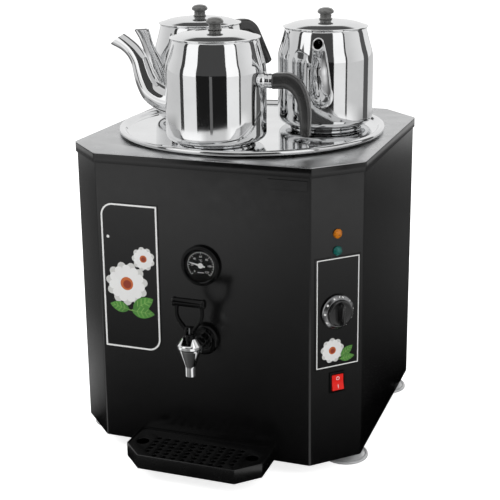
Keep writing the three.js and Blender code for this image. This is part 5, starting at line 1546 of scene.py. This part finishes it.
    def lid(self) -> Object:
        """Spin the shallow domed lid with its plug ring."""
        rim = self.height + 0.3
        top = rim + self.dome
        inside = [
            *bend((8, top - 1.1), (42, top - 3.6), (52, rim + 0.2), 14),
            (52, rim - 6), (53, rim - 6), (53, rim)]
        wide = self.lid_radius
        edge = [(wide - 0.4, rim), (wide, rim + 0.4), (wide - 0.2, rim + 1.0), (wide - 2.4, rim + 1.2)]
        outside = [
            (wide - 3.4, rim + 1.3),
            *bend((wide - 3.8, rim + 1.5), (wide - 8, rim + 3.5), (46.5, rim + 5.2), 8),
            *bend((46.5, rim + 5.2), (37.5, top - 1.6), (8, top), 24)[1:], (0, top)]
        profile = [(0, top - 1), *inside, *edge, *outside]
        return Bench.smooth(Bench.spun("lid", profile, 128), 35)

    def lid_knob(self) -> Object:
        """Spin the waisted knob with its mushroom head."""
        seat = self.height + 0.3 + self.dome + 0.3
        top = self.knob_top
        profile = filleted([
            (0, seat), (9.4, seat, 0.5), (9.2, seat + 1.3, 0.6), (8.0, seat + 1.7, 0.4),
            (7.8, seat + 4.4, 0.6),
            (8.2, seat + 4.8, 0.3), (8.2, seat + 5.6, 0.3), (7.8, seat + 6.0, 0.6), (8.0, top - 9.2, 1.0),
            (10.8, top - 7.8, 1.2), (11.5, top - 6.2, 1.2), (11.2, top - 4.2, 1.6), (8.6, top - 1.5, 4.0),
            (4.0, top - 0.2, 3), (0, top)], 5)
        return Bench.smooth(Bench.spun("lid_knob", profile, 64), 40)

    def build(self) -> None:
        """Model one set of pieces, and copy, dress and fix it for each teapot."""
        shell = self.shell()
        lid, knob = self.lid(), self.lid_knob()
        spouts = {Shape.LOW: self.spout(self.bent_rows), Shape.HIGH: self.spout(self.steep_rows)}
        grips = {Shape.LOW: self.low_grip(), Shape.HIGH: self.high_grip()}
        sockets = {
            Shape.LOW: self.socket(84.0, [
                (0, 65), (11.7, 65), (11.7, 68.2, 0.8), (10.4, 69.8, 1.2), (9.6, 70.6, 0.8),
                (9.5, 73.6, 0.4), (9.9, 74.2, 0.4),
                (9.9, 76, 0.4), (9.5, 76.6, 0.4), (9.5, 80, 0.5), (0, 80)]),
            Shape.HIGH: self.socket(127.0, [(0, 50), (7.2, 50), (7.2, 61.2, 0.8), (6.4, 62, 0.4), (0, 62)]),
        }
        for place in self.places:
            angle = math.radians(place.at)
            x, y = self.spacing * math.cos(angle), self.spacing * math.sin(angle) + CASING_Y
            spot = shifted(x, y, self.stand) @ turned(place.turn)
            pouring = spot @ turned(180)
            name = place.name
            body = Bench.copied(shell, f"{name}_shell", pouring)
            level = pouring @ shifted(0, 0, self.spout_root) @ turned(90, "Y")
            passage = Bench.placed(Bench.rod("passage", 9, 51, 67, 40), level)
            Bench.smooth(Bench.less(body, passage), 35)
            fitted(dress(body, Finish.MIRROR), name, "polished_steel", f"{name}_body")
            piece = Bench.copied(sockets[place.shape], f"{name}_socket", spot)
            fitted(dress(piece, Finish.MIRROR), name, "polished_steel")
            piece = Bench.copied(spouts[place.shape], f"{name}_spout_tube", pouring)
            fitted(dress(piece, Finish.MIRROR), name, "polished_steel", f"{name}_spout")
            piece = Bench.copied(grips[place.shape], f"{name}_handle", spot)
            fitted(dress(piece, Finish.POT_PLASTIC), name, "pot_plastic", f"{name}_grip")
            piece = Bench.copied(lid, f"{name}_lid_disc", spot)
            fitted(dress(piece, Finish.LID), f"{name}_cap", "polished_steel", f"{name}_lid")
            piece = Bench.copied(knob, f"{name}_lid_button", spot)
            fitted(dress(piece, Finish.LID_KNOB), f"{name}_cap", "pot_plastic", f"{name}_lid_knob")
        for model in (shell, lid, knob, *spouts.values(), *grips.values(), *sockets.values()):
            bpy.data.objects.remove(model)


@dataclass
class Inside:
    """The frame's own nodes that stay as they are, and get their finishes."""

    finishes: dict[str, Finish] = field(default_factory=lambda: {
        "base_plate": Finish.ZINC, "tank_stand": Finish.ZINC, "tank": Finish.PLAIN,
        "heater_element": Finish.PLAIN,
        "insulation_jacket": Finish.WOOL, "tap_shank": Finish.CHROME, "tap_tank_nut": Finish.BRASS,
        "tap_stem": Finish.PLAIN,
        "tap_seat_cup": Finish.SILICONE, "tap_lever_pin": Finish.PLAIN,
        "gauge_case": Finish.BLACK_PLASTIC,
        "thermostat_body": Finish.CREAM, "thermostat_shaft": Finish.PLAIN,
        "thermostat_sensor": Finish.BRASS,
        "heater_head": Finish.BRASS, "terminal_block": Finish.CREAM,
        "cable_gland": Finish.BLACK_PLASTIC, "wiring": Finish.WIRE,
    })

    def build(self, nodes: dict[str, Object]) -> None:
        """Dress the nodes that stay."""
        for name, finish in self.finishes.items():
            dress(nodes[name], finish)
            log.info("node %s keeps its shape, finish %s", name, finish.value.name)


@dataclass(frozen=True)
class Card:
    """An upright curved card round the urn, which only reflections see."""

    name: str
    start: float
    end: float
    level: float
    radius: float = 1200.0
    low: float = 180.0
    high: float = 1300.0

    def build(self) -> None:
        """Raise the card on its arc, and light it evenly."""
        angles = [math.radians(self.start + (self.end - self.start) * step / 24) for step in range(25)]
        line = [(self.radius * math.cos(angle), self.radius * math.sin(angle)) for angle in angles]
        line += [(x * 1.004, y * 1.004) for x, y in reversed(line)]
        piece = Bench.placed(Bench.slab(self.name, line, self.low, self.high), shifted(0, CASING_Y, 0))
        graph = Graph(self.name)
        graph.fix(Base_Color=shade((0.0, 0.0, 0.0)), Specular_IOR_Level=0.0,
                  Emission_Color=shade((1.0, 1.0, 1.0)), Emission_Strength=self.level)
        piece.data.materials.append(graph.material)
        piece.visible_camera = False
        piece.visible_diffuse = False
        piece.visible_shadow = False
        piece.visible_transmission = False


class Room(Graph):
    """The world's node tree, whose place is a direction."""

    def __init__(self, name: str) -> None:
        """Start a world with a background shader."""
        world = bpy.data.worlds.new(name)
        world.use_nodes = True
        bpy.context.scene.world = world
        self.tree = world.node_tree
        self.shader = self.tree.nodes["Background"]
        self.place = self.node("ShaderNodeTexCoord").outputs["Generated"]


@dataclass
class Studio:
    """The floor, the room, the lights, the cards and the camera."""

    target: Vector = field(default_factory=lambda: Vector((0.0, 0.032, 0.3)))
    camera_place: tuple[float, float, float] = (0.53437, -1.47089, 0.74767)
    heading: float = 19.72
    tilt: float = 15.43
    roll: float = -0.62
    focal_length: float = 82.98
    shift: Point = (0.0, -0.09)
    # Painted pools of light on the floor for reflections: corner x and y, aim, and the cosines where each
    # starts and is full.
    pools: tuple[tuple[float, float, float, float, float], ...] = (
        (0.15, -0.16, -64.0, 0.9, 0.95),
        (-0.16, -0.17, -153.0, 0.9, 0.95),
    )
    cards: tuple[Card, ...] = (
        Card("left_strip", -150.0, -141.0, 0.05),
        Card("left_softbox_low", -141.0, -111.0, 0.88, 1200.0, 180.0, 500.0),
        Card("left_softbox_high", -141.0, -111.0, 1.15, 1200.0, 500.0, 1300.0),
        Card("dark_card_low", -111.0, -49.0, 0.012, 1200.0, 180.0, 560.0),
        Card("dark_card_high", -111.0, -49.0, 0.06, 1200.0, 560.0, 1300.0),
        Card("streak", -84.0, -78.5, 0.14, 1150.0, 180.0, 540.0),
        Card("right_softbox_low", -49.0, -22.0, 0.9, 1200.0, 180.0, 500.0),
        Card("right_softbox_high", -49.0, -22.0, 1.15, 1200.0, 500.0, 1300.0),
        Card("right_line", -22.0, -18.0, 0.05),
        Card("right_strip", 28.0, 46.0, 0.1),
    )

    def camera(self) -> None:
        """Place the camera at the photograph's view."""
        data = bpy.data.cameras.new("camera")
        data.sensor_width = 36.0
        data.lens = self.focal_length
        data.shift_x, data.shift_y = self.shift
        data.clip_end = 50.0
        camera = bpy.data.objects.new("camera", data)
        bpy.context.scene.collection.objects.link(camera)
        aim = turned(self.heading) @ turned(90 - self.tilt, "X") @ turned(self.roll)
        camera.matrix_world = Matrix.Translation(self.camera_place) @ aim
        bpy.context.scene.camera = camera

    def floor(self) -> None:
        """Lay a white floor that reflections see darken towards the urn: painted shade near the urn and
        painted pools of light, which only glossy rays see.
        """
        Bench.clear()
        bpy.ops.mesh.primitive_plane_add(size=30)
        floor = Bench.named("floor")
        graph = Graph("studio_floor")
        graph.fix(Base_Color=shade((0.9, 0.9, 0.9)), Roughness=0.9, Specular_IOR_Level=0.0)
        paths = graph.node("ShaderNodeLightPath")
        seen = graph.calc("MAXIMUM", paths.outputs["Is Camera Ray"], paths.outputs["Is Transmission Ray"])
        graph.fix(Emission_Color=shade((1.0, 1.0, 1.0)))
        graph.link(graph.calc("MULTIPLY", seen, 0.8), graph.shader.inputs["Emission Strength"])
        offset = graph.node("ShaderNodeVectorMath", operation="SUBTRACT")
        graph.link(graph.place, offset.inputs[0])
        offset.inputs[1].default_value = (0.0, CASING_Y * MM, 0.0)
        length = graph.node("ShaderNodeVectorMath", operation="LENGTH")
        graph.link(offset.outputs["Vector"], length.inputs[0])
        away = length.outputs["Value"]
        unit = graph.node("ShaderNodeVectorMath", operation="NORMALIZE")
        graph.link(offset.outputs["Vector"], unit.inputs[0])
        direction = unit.outputs["Vector"]
        split = graph.node("ShaderNodeSeparateXYZ")
        graph.link(graph.place, split.inputs["Vector"])
        # Painted shade for reflections: the floor's glossy-ray glow is dark near the urn and rises further
        # out.
        rise = graph.spread(away, 0.0, 1.15, 0.25, 1.7)
        fades = (
            graph.spread(graph.along(direction, 70.0), 1.0, 0.24, 0.2, 0.8),
            graph.spread(graph.along(direction, -72.0), 1.0, 0.6, 0.84, 0.95),
            graph.spread(split.outputs["Y"], 1.0, 0.4, 0.3, 1.2),
        )
        for fade in fades:
            rise = graph.calc("MULTIPLY", rise, fade)
        side = graph.spread(graph.along(direction, 160.0), 0.0, 1.0, 0.6, 0.9)
        beside = graph.calc("SUBTRACT", graph.spread(away, 0.6, 0.17, 0.22, 0.62), rise)
        level = graph.calc("MULTIPLY_ADD", side, beside, rise)
        beyond = graph.calc("SUBTRACT", 0.66, level)
        level = graph.calc("MULTIPLY_ADD", graph.spread(away, 0.0, 1.0, 1.75, 2.3), beyond, level)
        # Painted pools of light: brighter wedges near two corners of the urn, seen only in reflections.
        for x, y, aim, start, end in self.pools:
            pool = self.pool(graph, (x, y), aim, start, end)
            level = graph.calc("MAXIMUM", level, pool)
        mirrored = graph.node("ShaderNodeEmission")
        graph.link(level, mirrored.inputs["Strength"])
        mixed = graph.node("ShaderNodeMixShader")
        graph.link(paths.outputs["Is Glossy Ray"], mixed.inputs["Fac"])
        graph.link(graph.shader.outputs[0], mixed.inputs[1])
        graph.link(mirrored.outputs[0], mixed.inputs[2])
        graph.link(mixed.outputs[0], graph.tree.nodes["Material Output"].inputs["Surface"])
        floor.data.materials.append(graph.material)

    @staticmethod
    def pool(graph: Graph, corner_at: Point, aim: float, start: float, end: float) -> NodeSocket:
        """Paint a pool of light, a brighter wedge of the floor near one corner of the urn, for reflections.

        Args:
            graph: The floor's graph.
            corner_at: Where the wedge starts, in metres.
            aim: The angle of its middle in degrees.
            start: The cosine where it begins, out from the middle.
            end: The cosine where it is full.

        Returns:
            The pool's brightness.
        """
        offset = graph.node("ShaderNodeVectorMath", operation="SUBTRACT")
        graph.link(graph.place, offset.inputs[0])
        offset.inputs[1].default_value = (*corner_at, 0.0)
        length = graph.node("ShaderNodeVectorMath", operation="LENGTH")
        graph.link(offset.outputs["Vector"], length.inputs[0])
        unit = graph.node("ShaderNodeVectorMath", operation="NORMALIZE")
        graph.link(offset.outputs["Vector"], unit.inputs[0])
        wedge = graph.spread(graph.along(unit.outputs["Vector"], aim), 0.0, 0.95, start, end)
        return graph.calc("MULTIPLY", wedge, graph.spread(length.outputs["Value"], 1.0, 0.0, 0.5, 0.8))

    def world(self) -> None:
        """Light the room softly, white behind the urn and darker overhead in reflections."""
        room = Room("room")
        room.shader.inputs["Color"].default_value = (1, 1, 1, 1)
        paths = room.node("ShaderNodeLightPath")
        split = room.node("ShaderNodeSeparateXYZ")
        room.link(room.place, split.inputs["Vector"])
        behind = room.spread(split.outputs["Y"], 0.68, 0.88, -0.2, 0.6)
        above = room.calc("MULTIPLY", room.spread(split.outputs["Z"], 0.0, 0.9, 0.58, 0.64),
                          room.spread(split.outputs["Y"], 0.0, 1.0, 0.12, 0.3))
        mirrored = room.calc("MULTIPLY", behind, room.calc("SUBTRACT", 1.0, above))
        seen = room.calc("MAXIMUM", paths.outputs["Is Camera Ray"], paths.outputs["Is Transmission Ray"])
        ambient = room.spread(seen, 0.45, 1.0, 0.0, 1.0)
        surplus = room.calc("SUBTRACT", mirrored, ambient)
        part = room.calc("MULTIPLY", paths.outputs["Is Glossy Ray"], surplus)
        room.link(room.calc("ADD", ambient, part), room.shader.inputs["Strength"])

    def lamp(self, name: str, place: Vector, size: Point, power: float) -> None:
        """Hang a soft area light that looks at the urn."""
        data = bpy.data.lights.new(name, "AREA")
        data.shape = "RECTANGLE"
        data.size, data.size_y = size
        data.energy = power
        light = bpy.data.objects.new(name, data)
        bpy.context.scene.collection.objects.link(light)
        light.visible_glossy = False
        light.location = place
        light.rotation_euler = (self.target - place).to_track_quat("-Z", "Y").to_euler()

    def build(self) -> None:
        """Set up the whole studio."""
        self.camera()
        self.floor()
        self.world()
        for card in self.cards:
            card.build()
        self.lamp("key_light", Vector((-1.4, -1.2, 2.0)), (1.4, 1.4), 26.0)
        self.lamp("fill_light", Vector((1.8, -0.9, 1.6)), (1.2, 1.4), 14.0)
        self.lamp("top_light", Vector((0.0, 0.3, 2.4)), (1.8, 1.8), 16.0)


def main() -> None:
    """Build the urn around its frame."""
    global TURN_SIGN
    logging.basicConfig(level=logging.INFO, format="%(name)s: %(message)s")
    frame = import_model()
    TURN_SIGN = tool_turn_sign()
    bpy.context.scene.view_settings.view_transform = "Standard"
    Studio().build()
    for part in (Casing(), Cover(), Feet(), Tap(), Gauge(), Controls(), Labels(), DripTray(), Teapots()):
        part.build()
        log.info("%s done", type(part).__name__)
    Inside().build(frame["nodes"])


if __name__ == "__main__":
    main()
